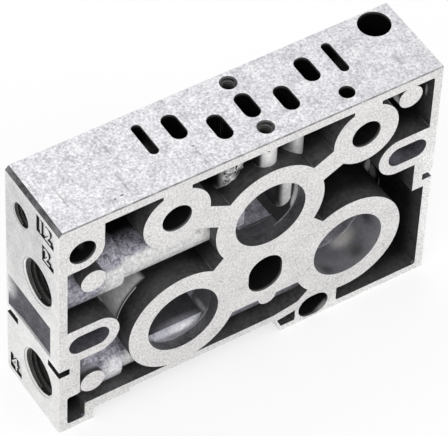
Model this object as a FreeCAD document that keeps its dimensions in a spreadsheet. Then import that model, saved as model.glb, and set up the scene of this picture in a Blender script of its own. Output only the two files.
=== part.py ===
"""Valve manifold sub-base: one aluminium die casting, machined on its faces, ports and bores.

The casting is drawn from its left, front, bottom corner: X along its length, Y from its front face
to its back face, Z up. Its placement then puts the origin under the middle of its base.
"""
import FreeCAD, Part
import math
import operator
import os

import Sketcher

# Driving dimensions in millimetres. "across" is measured from the left end, "up" from the base
# and "in" from the front face.
SIZES = {
    # outer block
    "length": 111.8,
    "depth": 26.0,
    "height": 76.4,
    "end_wall": 2.4,
    "top_wall": 2.8,
    "floor_wall": 2.2,
    "back_plate": 3.0,
    "end_chamfer": 1.1,
    "front_chamfer": 0.3,
    "casting_draft": 0.6,
    # feet and the arch between them
    "left_foot_length": 10.2,
    "left_foot_wall": 2.6,
    "step_rise": 4.0,
    "step_end_across": 21.0,
    "arch_rise": 5.4,
    "arch_end_across": 64.5,
    "arch_slant": 2.5,
    "arch_wall": 2.1,
    "cavity_corner": 0.8,
    "right_foot_pocket_across": 84.2,
    "foot_pocket_wall": 1.0,
    "foot_pocket_end_across": 71.4,
    "foot_pocket_bottom_up": 1.9,
    "foot_pocket_left_up": 4.8,
    "foot_pocket_right_up": 5.8,
    # gallery bores and the rings round them
    "gallery_centre_across": 61.55,
    "gallery_pitch": 50.0,
    "supply_up": 49.0,
    "exhaust_up": 23.15,
    "gallery_radius": 10.45,
    "cast_gallery_radius": 10.1,
    "ring_radius": 16.15,
    "supply_seat": 3.5,
    "left_exhaust_seat": 3.0,
    "right_exhaust_seat": 10.0,
    "back_seat": 4.0,
    "supply_sill_in": 6.5,
    "supply_sill_up": 40.2,
    "exhaust_sill_up": 17.2,
    # pilot galleries
    "pilot_centre_across": 61.5,
    "pilot_pitch": 55.8,
    "pilot_up": 63.55,
    "pilot_radius": 4.3,
    "pilot_boss_radius": 9.7,
    "pilot_neck": 8.2,
    # webs and the plate between the rings
    "web_width": 7.0,
    "pilot_web_share": 0.6,
    "plate_bottom_up": 17.0,
    # holes along the depth
    "corner_hole_across": 6.7,
    "corner_hole_up": 66.5,
    "corner_hole_radius": 3.8,
    "corner_hole_depth": 12.5,
    "corner_boss_radius": 6.2,
    "left_slot_across": 8.75,
    "left_slot_up": 31.9,
    "right_slot_from_end": 8.75,
    "right_slot_up": 49.2,
    "tie_slot_length": 11.7,
    "tie_slot_width": 6.4,
    "tie_boss_wall": 2.9,
    "middle_hole_across": 61.1,
    "middle_hole_up": 26.6,
    "middle_hole_width": 10.2,
    "middle_hole_height": 12.8,
    "foot_hole_across": 77.05,
    "foot_hole_up": 4.65,
    "foot_hole_length": 9.2,
    "foot_hole_height": 7.8,
    "foot_ramp_across": 71.9,
    "foot_ramp_up": 8.9,
    "foot_boss_across": 75.1,
    "foot_boss_up": 12.0,
    # pins left flush with the front face
    "pin_radius": 3.5,
    "upper_pin_across": 9.8,
    "upper_pin_up": 54.0,
    "lower_pin_up": 15.1,
    "right_pin_from_end": 9.5,
    "right_pin_up": 70.3,
    "plate_pin_across": 62.1,
    "plate_pin_radius": 2.65,
    # valve face
    "valve_centre_across": 61.95,
    "slot_pitch": 9.75,
    "thin_slot_offset": 27.9,
    "slot_width": 4.5,
    "slot_length": 8.9,
    "thin_slot_width": 2.7,
    "thin_slot_length": 11.0,
    "exhaust_slot_in": 16.5,
    "supply_slot_in": 13.6,
    "outlet_slot_in": 10.85,
    "passage_wall": 1.5,
    "screw_front_in": 5.1,
    "screw_spacing": 17.4,
    "screw_radius": 2.0,
    "screw_depth": 9.0,
    "screw_mouth": 4.7,
    "screw_boss_radius": 3.2,
    "pilot_drill_across": 85.8,
    "pilot_drill_in": 4.9,
    "pilot_drill_radius": 2.15,
    "pilot_drill_depth": 11.0,
    "pilot_drill_boss": 3.0,
    "cable_hole_from_end": 6.95,
    "cable_hole_in": 21.25,
    "cable_hole_radius": 4.42,
    "cable_hole_depth": 20.0,
    "cable_boss_radius": 5.9,
    "cable_boss_length": 24.0,
    # ports on the left end
    "port_in": 10.55,
    "port_two_up": 48.4,
    "port_four_up": 13.4,
    "port_radius": 6.58,
    "port_mouth": 14.2,
    "port_depth": 14.5,
    "port_boss_radius": 8.95,
    "port_boss_length": 19.5,
    "tube_radius": 7.57,
    "duct_in": 7.9,
    "duct_width": 5.6,
    "duct_height": 7.4,
    "duct_drop": 1.9,
    "pilot_port_in": 18.5,
    "pilot_port_up": 65.65,
    "pilot_port_radius": 3.5,
    "pilot_port_mouth": 7.5,
    "pilot_port_depth": 8.5,
    "pilot_duct_radius": 1.6,
    "pilot_tube_radius": 3.4,
    # locating notches in the end walls
    "notch_height": 2.3,
    "notch_length": 3.1,
    "notch_depth": 5.5,
    "left_notch_up": 23.1,
    "right_notch_up": 36.65,
    "left_block_length": 6.1,
    "left_block_bottom_up": 12.7,
    "left_block_top_up": 26.2,
    "right_block_length": 5.9,
    "right_block_bottom_up": 33.0,
    # shallow recesses in the left end
    "recess_depth": 0.6,
    "recess_front_in": 4.3,
    "recess_runout_in": 19.0,
    "recess_back_in": 25.2,
    "recess_bottom_up": 25.7,
    "recess_top_up": 37.3,
    "label_depth": 0.55,
    "label_height": 5.8,
    "label_width": 5.6,
    "label_wide_width": 8.3,
    "label_front_in": 2.5,
    "label_twelve_up": 68.1,
    "label_two_up": 59.7,
    "label_four_in": 19.0,
    "label_four_up": 1.7,
    # seal recesses in the back face
    "seal_depth": 1.2,
    "gallery_seal_radius": 12.9,
    "pilot_seal_radius": 6.3,
}

OPERATIONS = {"+": operator.add, "-": operator.sub, "*": operator.mul, "/": operator.truediv}


class Formula:
    """A length with its value and the text that ties it to the cells of the sheet."""

    def __init__(self, value, text):
        self.value = value
        self.text = text

    def __add__(self, other):
        return combine(self, "+", other)

    def __sub__(self, other):
        return combine(self, "-", other)

    def __mul__(self, other):
        return combine(self, "*", other)

    def __truediv__(self, other):
        return combine(self, "/", other)


def combine(left, sign, right):
    left_value, left_text = value_and_text(left)
    right_value, right_text = value_and_text(right)
    value = OPERATIONS[sign](left_value, right_value)
    return Formula(value, f"({left_text} {sign} {right_text})")


def value_and_text(quantity):
    if isinstance(quantity, Formula):
        return quantity.value, quantity.text
    return quantity, str(quantity)


def cell(name):
    return Formula(SIZES[name], f"Sizes.{name}")


def fill_sheet(document):
    sheet = document.addObject("Spreadsheet::Sheet", "Sizes")
    for row, (name, value) in enumerate(SIZES.items(), start=1):
        sheet.set(f"A{row}", name)
        sheet.set(f"B{row}", str(value))
        sheet.setAlias(f"B{row}", name)


# ---- sketches ----

def new_sketch(body, name, role, offset=None):
    """An empty sketch on one of the body's origin planes, moved along its normal by offset."""
    planes = [feature for feature in body.Origin.OriginFeatures if feature.Role == role]
    sketch = body.newObject("Sketcher::SketchObject", name)
    sketch.AttachmentSupport = [(planes[0], "")]
    sketch.MapMode = "FlatFace"
    if offset is not None:
        sketch.setExpression("AttachmentOffset.Base.z", offset.text)
    return sketch


def bind(sketch, kind, geometry, formula):
    """Adds a dimension whose value the sheet gives."""
    index = sketch.addConstraint(Sketcher.Constraint(kind, *geometry, formula.value))
    sketch.setExpression(f"Constraints[{index}]", formula.text)


def pin(sketch, geometry, point, x, y):
    """Holds a point at x and y from the origin of its sketch; a plain 0 means on the axis."""
    for kind, axis, place in (("DistanceX", -2, x), ("DistanceY", -1, y)):
        if isinstance(place, Formula):
            bind(sketch, kind, (-1, 1, geometry, point), place)
        else:
            sketch.addConstraint(Sketcher.Constraint("PointOnObject", geometry, point, axis))


def vector(x, y):
    return FreeCAD.Vector(value_and_text(x)[0], value_and_text(y)[0], 0)


def draw_circle(sketch, x, y, radius):
    circle = Part.Circle(vector(x, y), FreeCAD.Vector(0, 0, 1), radius.value)
    geometry = sketch.addGeometry(circle)
    pin(sketch, geometry, 3, x, y)
    bind(sketch, "Radius", (geometry,), radius)


def signed_radius(element):
    """The radius of an outline's element: 0 at a corner, below 0 where its arc bends inward."""
    if len(element) == 2:
        return 0.0
    return element[2].value if len(element) == 3 else -element[2].value


def side_between(first, second):
    """The straight side that joins two elements, and the direction of its outward normal."""
    start, end = vector(*first[:2]), vector(*second[:2])
    start_radius, end_radius = signed_radius(first), signed_radius(second)
    heading = math.atan2(end.y - start.y, end.x - start.x)
    heading += math.asin((start_radius - end_radius) / start.distanceToPoint(end))
    normal = FreeCAD.Vector(math.sin(heading), -math.cos(heading), 0)
    side = Part.LineSegment(start + normal * start_radius, end + normal * end_radius)
    return side, math.atan2(normal.y, normal.x)


def draw_outline(sketch, elements):
    """A closed outline, counterclockwise, of straight sides.

    Each element is a corner (x, y), an outward arc (x, y, radius) about that centre, or an inward
    one (x, y, radius, "inward"). Sides meet arcs in tangents.
    """
    following = elements[1:] + elements[:1]
    sides = [side_between(first, second) for first, second in zip(elements, following)]
    lines = [sketch.addGeometry(side) for side, normal in sides]
    for index, element in enumerate(elements):
        before, after = lines[index - 1], lines[index]
        x, y = element[:2]
        if len(element) == 2:
            sketch.addConstraint(Sketcher.Constraint("Coincident", before, 2, after, 1))
            pin(sketch, after, 1, x, y)
            continue
        angles = [sides[index - 1][1], sides[index][1]]
        ends = [1, 2]
        if len(element) == 4:
            angles = [angles[1] + math.pi, angles[0] + math.pi]
            ends = [2, 1]
        circle = Part.Circle(vector(x, y), FreeCAD.Vector(0, 0, 1), element[2].value)
        arc = sketch.addGeometry(Part.ArcOfCircle(circle, *angles))
        sketch.addConstraint(Sketcher.Constraint("Tangent", before, 2, arc, ends[0]))
        sketch.addConstraint(Sketcher.Constraint("Tangent", arc, ends[1], after, 1))
        pin(sketch, arc, 3, x, y)
        bind(sketch, "Radius", (arc,), element[2])


def draw_flat_circle(sketch, x, y, radius, flat_y):
    """The part of a circle that lies above a level chord."""
    half = math.sqrt(radius.value ** 2 - (y.value - flat_y.value) ** 2)
    start = math.atan2(flat_y.value - y.value, -half)
    end = math.atan2(flat_y.value - y.value, half)
    circle = Part.Circle(vector(x, y), FreeCAD.Vector(0, 0, 1), radius.value)
    arc = sketch.addGeometry(Part.ArcOfCircle(circle, end, start + 2 * math.pi))
    chord = sketch.addGeometry(Part.LineSegment(vector(x - half, flat_y), vector(x + half, flat_y)))
    sketch.addConstraint(Sketcher.Constraint("Coincident", chord, 2, arc, 1))
    sketch.addConstraint(Sketcher.Constraint("Coincident", arc, 2, chord, 1))
    sketch.addConstraint(Sketcher.Constraint("Horizontal", chord))
    bind(sketch, "DistanceY", (-1, 1, chord, 1), flat_y)
    pin(sketch, arc, 3, x, y)
    bind(sketch, "Radius", (arc,), radius)


def draw_slot(sketch, x, y, long_way, width, length):
    """A slot with round ends about x, y, long along its sketch's "x" or "y"."""
    reach = (length - width) / 2
    radius = width / 2
    if long_way == "x":
        draw_outline(sketch, [(x + reach, y, radius), (x - reach, y, radius)])
    else:
        draw_outline(sketch, [(x, y - reach, radius), (x, y + reach, radius)])


def draw_box(sketch, left, bottom, right, top):
    draw_outline(sketch, [(left, bottom), (right, bottom), (right, top), (left, top)])


# ---- features ----

def pad(body, name, sketch, length, reverse=False, drafted=False):
    feature = body.newObject("PartDesign::Pad", name)
    feature.Profile = sketch
    feature.Reversed = reverse
    feature.setExpression("Length", length.text)
    if drafted:
        feature.setExpression("TaperAngle", "Sizes.casting_draft")
    return feature


def pocket(body, name, sketch, length=None, reverse=False, drafted=False):
    """A pocket of a stated length, or right through the body."""
    feature = body.newObject("PartDesign::Pocket", name)
    feature.Profile = sketch
    feature.Reversed = reverse
    if length is None:
        feature.Type = "ThroughAll"
    else:
        feature.setExpression("Length", length.text)
    if drafted:
        feature.setExpression("TaperAngle", "-Sizes.casting_draft")
    return feature


def front_pad(body, name, draw, length=None):
    """A boss, web or wall that rises from the floor of the front cavity to the front face."""
    sketch = new_sketch(body, f"{name}Outline", "XZ_Plane")
    draw(sketch)
    reach = length or cell("depth") - cell("back_plate") / 2
    return pad(body, name, sketch, reach, reverse=True, drafted=True)


def front_pocket(body, name, draw, length=None, drafted=False):
    sketch = new_sketch(body, f"{name}Outline", "XZ_Plane")
    draw(sketch)
    return pocket(body, name, sketch, length, drafted=drafted)


def back_pocket(body, name, draw, length):
    sketch = new_sketch(body, f"{name}Outline", "XZ_Plane", cell("depth") * -1)
    draw(sketch)
    return pocket(body, name, sketch, length, reverse=True)


def end_pad(body, name, draw, length):
    """A tube that runs along X from the left end."""
    sketch = new_sketch(body, f"{name}Outline", "YZ_Plane")
    draw(sketch)
    return pad(body, name, sketch, length)


def end_pocket(body, name, draw, length, start=None):
    sketch = new_sketch(body, f"{name}Outline", "YZ_Plane", start)
    draw(sketch)
    return pocket(body, name, sketch, length, reverse=True)


def top_pad(body, name, draw, length):
    """A tube that hangs from the top wall."""
    sketch = new_sketch(body, f"{name}Outline", "XY_Plane", cell("height") - cell("top_wall") / 2)
    draw(sketch)
    return pad(body, name, sketch, length, reverse=True)


def top_pocket(body, name, draw, length):
    sketch = new_sketch(body, f"{name}Outline", "XY_Plane", cell("height"))
    draw(sketch)
    return pocket(body, name, sketch, length)


# ---- the casting's outside and its front cavity ----

def draw_block(sketch):
    """The outer outline: two feet, with a stepped arch between them."""
    draw_outline(sketch, [
        (0, 0),
        (cell("left_foot_length"), 0),
        (cell("left_foot_length"), cell("step_rise")),
        (cell("step_end_across"), cell("step_rise")),
        (cell("step_end_across"), cell("arch_rise")),
        (cell("arch_end_across"), cell("arch_rise")),
        (cell("arch_end_across") + cell("arch_slant"), 0),
        (cell("length"), 0),
        (cell("length"), cell("height")),
        (0, cell("height")),
    ])


def add_block(body):
    sketch = new_sketch(body, "BlockOutline", "XZ_Plane")
    draw_block(sketch)
    pad(body, "Block", sketch, cell("depth"), reverse=True)


def cut_edges(body):
    """The broken edges: the left end's top edge, and the valve face's front edge."""
    sketch = new_sketch(body, "EndChamferOutline", "XZ_Plane")
    chamfer, height = cell("end_chamfer"), cell("height")
    draw_outline(sketch, [(0, height - chamfer), (chamfer, height), (0, height)])
    pocket(body, "EndChamfer", sketch)
    sketch = new_sketch(body, "FrontChamferOutline", "YZ_Plane")
    chamfer = cell("front_chamfer")
    draw_outline(sketch, [(0, height - chamfer), (chamfer, height), (0, height)])
    pocket(body, "FrontChamfer", sketch, cell("length"), reverse=True)


def rounded(x, y, right, above, inward=False):
    """A corner's small arc; right and above say on which sides of the corner its centre lies."""
    radius = cell("cavity_corner")
    arc = (x + radius if right else x - radius, y + radius if above else y - radius, radius)
    return arc + ("inward",) if inward else arc


def draw_cavity(sketch):
    """What the front cavity leaves of the walls, with the left end's block and the two feet."""
    inner_left, inner_right = cell("end_wall"), cell("length") - cell("end_wall")
    floor, top = cell("floor_wall"), cell("height") - cell("top_wall")
    arch_top = cell("arch_rise") + cell("arch_wall")
    foot_inner = cell("left_foot_length") - cell("left_foot_wall")
    foot_pocket = cell("right_foot_pocket_across")
    block = cell("left_block_length")
    block_bottom, block_top = cell("left_block_bottom_up"), cell("left_block_top_up")
    draw_outline(sketch, [
        rounded(inner_left, floor, True, True),
        rounded(foot_inner, floor, False, True),
        rounded(foot_inner, arch_top, True, False, True),
        rounded(foot_pocket, arch_top, False, False, True),
        rounded(foot_pocket, floor, True, True),
        rounded(inner_right, floor, False, True),
        rounded(inner_right, top, False, False),
        rounded(inner_left, top, True, False),
        rounded(inner_left, block_top, True, True),
        rounded(block, block_top, False, False, True),
        rounded(block, block_bottom, False, True, True),
        rounded(inner_left, block_bottom, True, False),
    ])


def draw_foot_pocket(sketch):
    """The small pocket between the arch's slanted end and the foot hole."""
    slope = cell("arch_slant") / cell("arch_rise")
    end, bottom = cell("foot_pocket_end_across"), cell("foot_pocket_bottom_up")
    left_up = cell("foot_pocket_left_up")

    def left(up):
        return cell("arch_end_across") + slope * (cell("arch_rise") - up) + cell("foot_pocket_wall")

    draw_outline(sketch, [
        (left(bottom), bottom),
        (end, bottom),
        (end, cell("foot_pocket_right_up")),
        (left(left_up), left_up),
    ])


def cut_cavity(body):
    depth = cell("depth") - cell("back_plate")
    front_pocket(body, "Cavity", draw_cavity, depth, drafted=True)
    front_pocket(body, "FootPocket", draw_foot_pocket, depth, drafted=True)


# ---- rings, bosses and webs that stand in the cavity ----

def gallery_places():
    """Centres of the three galleries: left exhaust, supply, right exhaust."""
    middle, half = cell("gallery_centre_across"), cell("gallery_pitch") / 2
    return [
        (middle - half, cell("exhaust_up")),
        (middle, cell("supply_up")),
        (middle + half, cell("exhaust_up")),
    ]


def pilot_places():
    middle, half = cell("pilot_centre_across"), cell("pilot_pitch") / 2
    return [(middle - half, cell("pilot_up")), (middle + half, cell("pilot_up"))]


def draw_circles(places, radius):
    def draw(sketch):
        for across, up in places:
            draw_circle(sketch, across, up, radius)
    return draw


def draw_pilot_necks(sketch):
    """Short necks that join the pilot bosses to the top wall."""
    half = cell("pilot_neck") / 2
    for across, up in pilot_places():
        draw_box(sketch, across - half, up, across + half, cell("height") - cell("top_wall") / 2)


def draw_plate(sketch):
    """The plate between the three rings, with its flanks half a web outside their centres."""
    left, supply, right = gallery_places()
    bottom, half = cell("plate_bottom_up"), cell("web_width") / 2
    draw_outline(sketch, [
        (left[0], bottom),
        (right[0], bottom),
        (*right, half),
        (*supply, half),
        (*left, half),
    ])


def draw_pilot_webs(sketch):
    """Webs from the pilot bosses towards the supply's centre, as far as its ring."""
    supply = gallery_places()[1]
    half, share = cell("web_width") / 2, cell("pilot_web_share")
    for across, up in pilot_places():
        end = (across + (supply[0] - across) * share, up + (supply[1] - up) * share)
        first, last = sorted([(across, up, half), (*end, half)], key=lambda arc: arc[0].value)
        draw_outline(sketch, [first, last])


def draw_corner_boss(sketch):
    """Round the hole in the upper left corner, concentric with it."""
    across, up, radius = cell("corner_hole_across"), cell("corner_hole_up"), cell("corner_boss_radius")
    wall, top = cell("end_wall") / 2, cell("height") - cell("top_wall") / 2
    draw_outline(sketch, [
        (wall, up - radius),
        (across, up, radius),
        (across + radius, top),
        (wall, top),
    ])


def draw_left_tie_boss(sketch):
    radius = cell("tie_slot_width") / 2 + cell("tie_boss_wall")
    end = cell("left_slot_across") + (cell("tie_slot_length") - cell("tie_slot_width")) / 2
    up, wall = cell("left_slot_up"), cell("end_wall") / 2
    draw_outline(sketch, [(wall, up - radius), (end, up, radius), (wall, up + radius)])


def draw_right_tie_boss(sketch):
    radius = cell("tie_slot_width") / 2 + cell("tie_boss_wall")
    reach = (cell("tie_slot_length") - cell("tie_slot_width")) / 2
    end = cell("length") - cell("right_slot_from_end") - reach
    up, wall = cell("right_slot_up"), cell("length") - cell("end_wall") / 2
    draw_outline(sketch, [(wall, up + radius), (end, up, radius), (wall, up - radius)])


def draw_right_block(sketch):
    """The block that carries the right end's notch, under the right tie boss."""
    draw_box(sketch, cell("length") - cell("right_block_length"), cell("right_block_bottom_up"),
             cell("length") - cell("end_wall") / 2, cell("right_slot_up"))


def draw_foot_boss(sketch):
    """Over the hole in the right foot; a ramp leads it into the arch's wall."""
    end, top = cell("right_foot_pocket_across"), cell("foot_boss_up")
    arch_top = cell("arch_rise") + cell("arch_wall")
    inside = cell("arch_rise") + cell("arch_wall") / 2
    draw_outline(sketch, [
        (cell("arch_end_across"), inside),
        (end, inside),
        (end, top),
        (cell("foot_boss_across"), top),
        (cell("foot_ramp_across"), cell("foot_ramp_up")),
        (cell("arch_end_across"), arch_top),
    ])


def draw_wall_bosses(sketch):
    """The bosses that grow from the walls."""
    draw_corner_boss(sketch)
    draw_left_tie_boss(sketch)
    draw_right_tie_boss(sketch)
    draw_foot_boss(sketch)
    draw_pilot_necks(sketch)


def draw_pins(sketch):
    """Ejector pins' pads that stand up to the front face."""
    across, radius = cell("upper_pin_across"), cell("pin_radius")
    draw_circle(sketch, across, cell("upper_pin_up"), radius)
    draw_circle(sketch, across, cell("lower_pin_up"), radius)
    draw_circle(sketch, cell("length") - cell("right_pin_from_end"), cell("right_pin_up"), radius)
    draw_circle(sketch, cell("plate_pin_across"), cell("plate_bottom_up"), cell("plate_pin_radius"))


def add_bosses(body):
    front_pad(body, "Rings", draw_circles(gallery_places(), cell("ring_radius")))
    front_pad(body, "Plate", draw_plate)
    front_pad(body, "PilotBosses", draw_circles(pilot_places(), cell("pilot_boss_radius")))
    front_pad(body, "PilotWebs", draw_pilot_webs)
    front_pad(body, "WallBosses", draw_wall_bosses)
    front_pad(body, "RightBlock", draw_right_block)
    front_pad(body, "Pins", draw_pins)


# ---- galleries, and the tubes that carry the ducts between them and the valve face ----

def slot_across(steps):
    """Where a valve slot lies, counted in pitches from the middle of the valve pattern."""
    return cell("valve_centre_across") + cell("slot_pitch") * steps


def slot_tubes(pitches, inward):
    """The outsides of the tubes round some slots' ducts."""
    wall = cell("passage_wall") * 2

    def draw(sketch):
        for steps in pitches:
            draw_slot(sketch, slot_across(steps), inward, "y",
                      cell("slot_width") + wall, cell("slot_length") + wall)
    return draw


def to_level(up):
    """How far a tube reaches from the middle of the top wall down to a level."""
    return cell("height") - cell("top_wall") / 2 - up


def u_tubes(inward, levels, radius):
    """Tubes' outsides, round towards the front and straight-sided back to the back plate."""
    back = cell("depth") - cell("back_plate") / 2

    def draw(sketch):
        for up in levels:
            draw_outline(sketch, [(back, up - radius), (back, up + radius), (inward, up, radius)])
    return draw


def screw_places():
    front = cell("screw_front_in")
    return [(cell("valve_centre_across"), front),
            (cell("valve_centre_across"), front + cell("screw_spacing"))]


def draw_cable_boss(sketch):
    """Round the cable hole, and flat where the back face cuts it."""
    across, radius = cell("length") - cell("cable_hole_from_end"), cell("cable_boss_radius")
    back = cell("depth")
    draw_outline(sketch, [
        (across, cell("cable_hole_in"), radius),
        (across + radius, back),
        (across - radius, back),
    ])


def add_tubes_clear_of_galleries(body):
    """Tubes that end on the rings, so that the galleries are cut through them later."""
    exhaust_top = cell("exhaust_up") + cell("gallery_radius")
    supply_top = cell("supply_up") + cell("gallery_radius")
    exhaust_in = cell("exhaust_slot_in")
    top_pad(body, "ExhaustTubes", slot_tubes([-2, 2], exhaust_in), to_level(exhaust_top))
    top_pad(body, "SupplyTube", slot_tubes([0], cell("supply_slot_in")), to_level(supply_top))
    top_pad(body, "ScrewBosses", draw_circles(screw_places(), cell("screw_boss_radius")),
            to_level(supply_top))
    pilot_drill = [(cell("pilot_drill_across"), cell("pilot_drill_in"))]
    top_pad(body, "PilotDrillBoss", draw_circles(pilot_drill, cell("pilot_drill_boss")),
            to_level(cell("pilot_up") + cell("pilot_radius")))
    top_pad(body, "CableBoss", draw_cable_boss, cell("cable_boss_length"))
    end_pad(body, "PilotTube",
            u_tubes(cell("pilot_port_in"), [cell("pilot_port_up")], cell("pilot_tube_radius")),
            cell("pilot_centre_across") - cell("pilot_pitch") / 2 - cell("pilot_radius"))


def cut_galleries(body):
    """The cast bores. The supply's has a level sill behind its mouth."""
    left, supply, right = gallery_places()
    radius = cell("cast_gallery_radius")
    front_pocket(body, "ExhaustGalleries", draw_circles([left, right], radius))
    front_pocket(body, "SupplyMouth", draw_circles([supply], radius), cell("supply_sill_in"))
    sketch = new_sketch(body, "SupplyGalleryOutline", "XZ_Plane")
    draw_flat_circle(sketch, *supply, radius, cell("supply_sill_up"))
    pocket(body, "SupplyGallery", sketch)


def add_outlet_tubes(body):
    """The outlets' tubes, which pass through the galleries: level from the ports, then upright."""
    past_slot = cell("slot_width") / 2 + cell("passage_wall")
    inward, radius = cell("port_in"), cell("tube_radius")
    two_up, four_up = cell("port_two_up"), cell("port_four_up")
    end_pad(body, "PortBosses", u_tubes(inward, [two_up, four_up], cell("port_boss_radius")),
            cell("port_boss_length"))
    for name, steps, up in (("Two", -1, two_up), ("Four", 1, four_up)):
        end_pad(body, f"Port{name}Tube", u_tubes(inward, [up], radius), slot_across(steps) + past_slot)
        top_pad(body, f"Outlet{name}Tube", slot_tubes([steps], cell("outlet_slot_in")),
                to_level(up - radius))


def finish_galleries(body):
    """Clears the left exhaust above its sill, then machines the seats from both faces."""
    left, supply, right = gallery_places()
    sketch = new_sketch(body, "ExhaustClearanceOutline", "XZ_Plane")
    draw_flat_circle(sketch, *left, cell("cast_gallery_radius"), cell("exhaust_sill_up"))
    pocket(body, "ExhaustClearance", sketch)
    radius = cell("gallery_radius")
    front_pocket(body, "LeftExhaustSeat", draw_circles([left], radius), cell("left_exhaust_seat"))
    front_pocket(body, "SupplySeat", draw_circles([supply], radius), cell("supply_seat"))
    front_pocket(body, "RightExhaustSeat", draw_circles([right], radius), cell("right_exhaust_seat"))
    back_pocket(body, "BackSeats", draw_circles(gallery_places(), radius), cell("back_seat"))


# ---- holes along the depth ----

def draw_through_holes(sketch):
    """The pilot galleries, the two tie slots, the middle hole and the foot hole."""
    draw_circles(pilot_places(), cell("pilot_radius"))(sketch)
    width, length = cell("tie_slot_width"), cell("tie_slot_length")
    draw_slot(sketch, cell("left_slot_across"), cell("left_slot_up"), "x", width, length)
    right_across = cell("length") - cell("right_slot_from_end")
    draw_slot(sketch, right_across, cell("right_slot_up"), "x", width, length)
    draw_slot(sketch, cell("middle_hole_across"), cell("middle_hole_up"), "y",
              cell("middle_hole_width"), cell("middle_hole_height"))
    draw_slot(sketch, cell("foot_hole_across"), cell("foot_hole_up"), "x",
              cell("foot_hole_height"), cell("foot_hole_length"))


def cut_front_holes(body):
    front_pocket(body, "ThroughHoles", draw_through_holes)
    corner = [(cell("corner_hole_across"), cell("corner_hole_up"))]
    front_pocket(body, "CornerHole", draw_circles(corner, cell("corner_hole_radius")),
                 cell("corner_hole_depth"))


# ---- ports, slots and screws ----

def tapped_holes(body, name, role, offset, places, radius, depth, mouth, reverse=False):
    """Tapped holes at their thread's full diameter, each with a countersunk mouth."""
    sketch = new_sketch(body, f"{name}Centres", role, offset)
    for x, y in places:
        draw_circle(sketch, x, y, radius)
    body.Document.recompute()
    hole = body.newObject("PartDesign::Hole", name)
    hole.Profile = sketch
    hole.Reversed = reverse
    hole.DepthType = "Dimension"
    hole.DrillPoint = "Flat"
    hole.HoleCutType = "Countersink"
    hole.HoleCutCountersinkAngle = 90
    hole.setExpression("Diameter", f"2 * {radius.text}")
    hole.setExpression("Depth", depth.text)
    hole.setExpression("HoleCutDiameter", mouth.text)


def cut_ports(body):
    inward = cell("port_in")
    places = [(inward, cell("port_two_up")), (inward, cell("port_four_up"))]
    tapped_holes(body, "Ports", "YZ_Plane", None, places, cell("port_radius"),
                 cell("port_depth"), cell("port_mouth"), reverse=True)
    pilot = [(cell("pilot_port_in"), cell("pilot_port_up"))]
    tapped_holes(body, "PilotPort", "YZ_Plane", None, pilot, cell("pilot_port_radius"),
                 cell("pilot_port_depth"), cell("pilot_port_mouth"), reverse=True)
    end_pocket(body, "PilotDuct", draw_circles(pilot, cell("pilot_duct_radius")),
               cell("pilot_centre_across") - cell("pilot_pitch") / 2)


def duct(up):
    def draw(sketch):
        draw_slot(sketch, cell("duct_in"), up, "y", cell("duct_width"), cell("duct_height"))
    return draw


def valve_slot(steps, inward):
    def draw(sketch):
        draw_slot(sketch, slot_across(steps), inward, "y", cell("slot_width"), cell("slot_length"))
    return draw


def cut_ducts(body):
    """The outlets' ducts, from each port along its tube and up to its slot in the valve face."""
    two_up, four_up = cell("port_two_up"), cell("port_four_up") - cell("duct_drop")
    for name, steps, up in (("Two", -1, two_up), ("Four", 1, four_up)):
        end_pocket(body, f"Duct{name}", duct(up), slot_across(steps) + cell("slot_width") / 2)
        top_pocket(body, f"OutletSlot{name}", valve_slot(steps, cell("outlet_slot_in")),
                   cell("height") - up + cell("duct_height") / 2)


def draw_exhaust_slots(sketch):
    valve_slot(-2, cell("exhaust_slot_in"))(sketch)
    valve_slot(2, cell("exhaust_slot_in"))(sketch)


def draw_pilot_slots(sketch):
    for side in (-1, 1):
        across = cell("valve_centre_across") + cell("thin_slot_offset") * side
        draw_slot(sketch, across, cell("exhaust_slot_in"), "y",
                  cell("thin_slot_width"), cell("thin_slot_length"))


def cut_valve_face(body):
    half_gallery = cell("gallery_radius") / 2
    height = cell("height")
    top_pocket(body, "ExhaustSlots", draw_exhaust_slots, height - cell("exhaust_up") - half_gallery)
    top_pocket(body, "SupplySlot", valve_slot(0, cell("supply_slot_in")),
               height - cell("supply_up") - half_gallery)
    top_pocket(body, "PilotSlots", draw_pilot_slots, height - cell("pilot_up"))
    pilot_drill = [(cell("pilot_drill_across"), cell("pilot_drill_in"))]
    top_pocket(body, "PilotDrill", draw_circles(pilot_drill, cell("pilot_drill_radius")),
               cell("pilot_drill_depth"))
    cable = [(cell("length") - cell("cable_hole_from_end"), cell("cable_hole_in"))]
    top_pocket(body, "CableHole", draw_circles(cable, cell("cable_hole_radius")),
               cell("cable_hole_depth"))
    tapped_holes(body, "ValveScrews", "XY_Plane", height, screw_places(), cell("screw_radius"),
                 cell("screw_depth"), cell("screw_mouth"))


# ---- notches, recesses and seals ----

def draw_left_notches(sketch):
    half, depth = cell("notch_height") / 2, cell("notch_depth")
    bottom, top = cell("left_notch_up") - half, cell("left_notch_up") + half
    draw_box(sketch, 0, bottom, depth, top)
    draw_box(sketch, cell("depth") - depth, bottom, cell("depth"), top)


def draw_right_notch(sketch):
    half = cell("notch_height") / 2
    draw_box(sketch, 0, cell("right_notch_up") - half, cell("notch_depth"), cell("right_notch_up") + half)


def draw_end_recess(sketch):
    """Seen from above: a level floor that runs out towards the back."""
    depth = cell("recess_depth")
    draw_outline(sketch, [
        (0, cell("recess_front_in")),
        (depth, cell("recess_front_in")),
        (depth, cell("recess_runout_in")),
        (0, cell("recess_back_in")),
    ])


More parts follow.
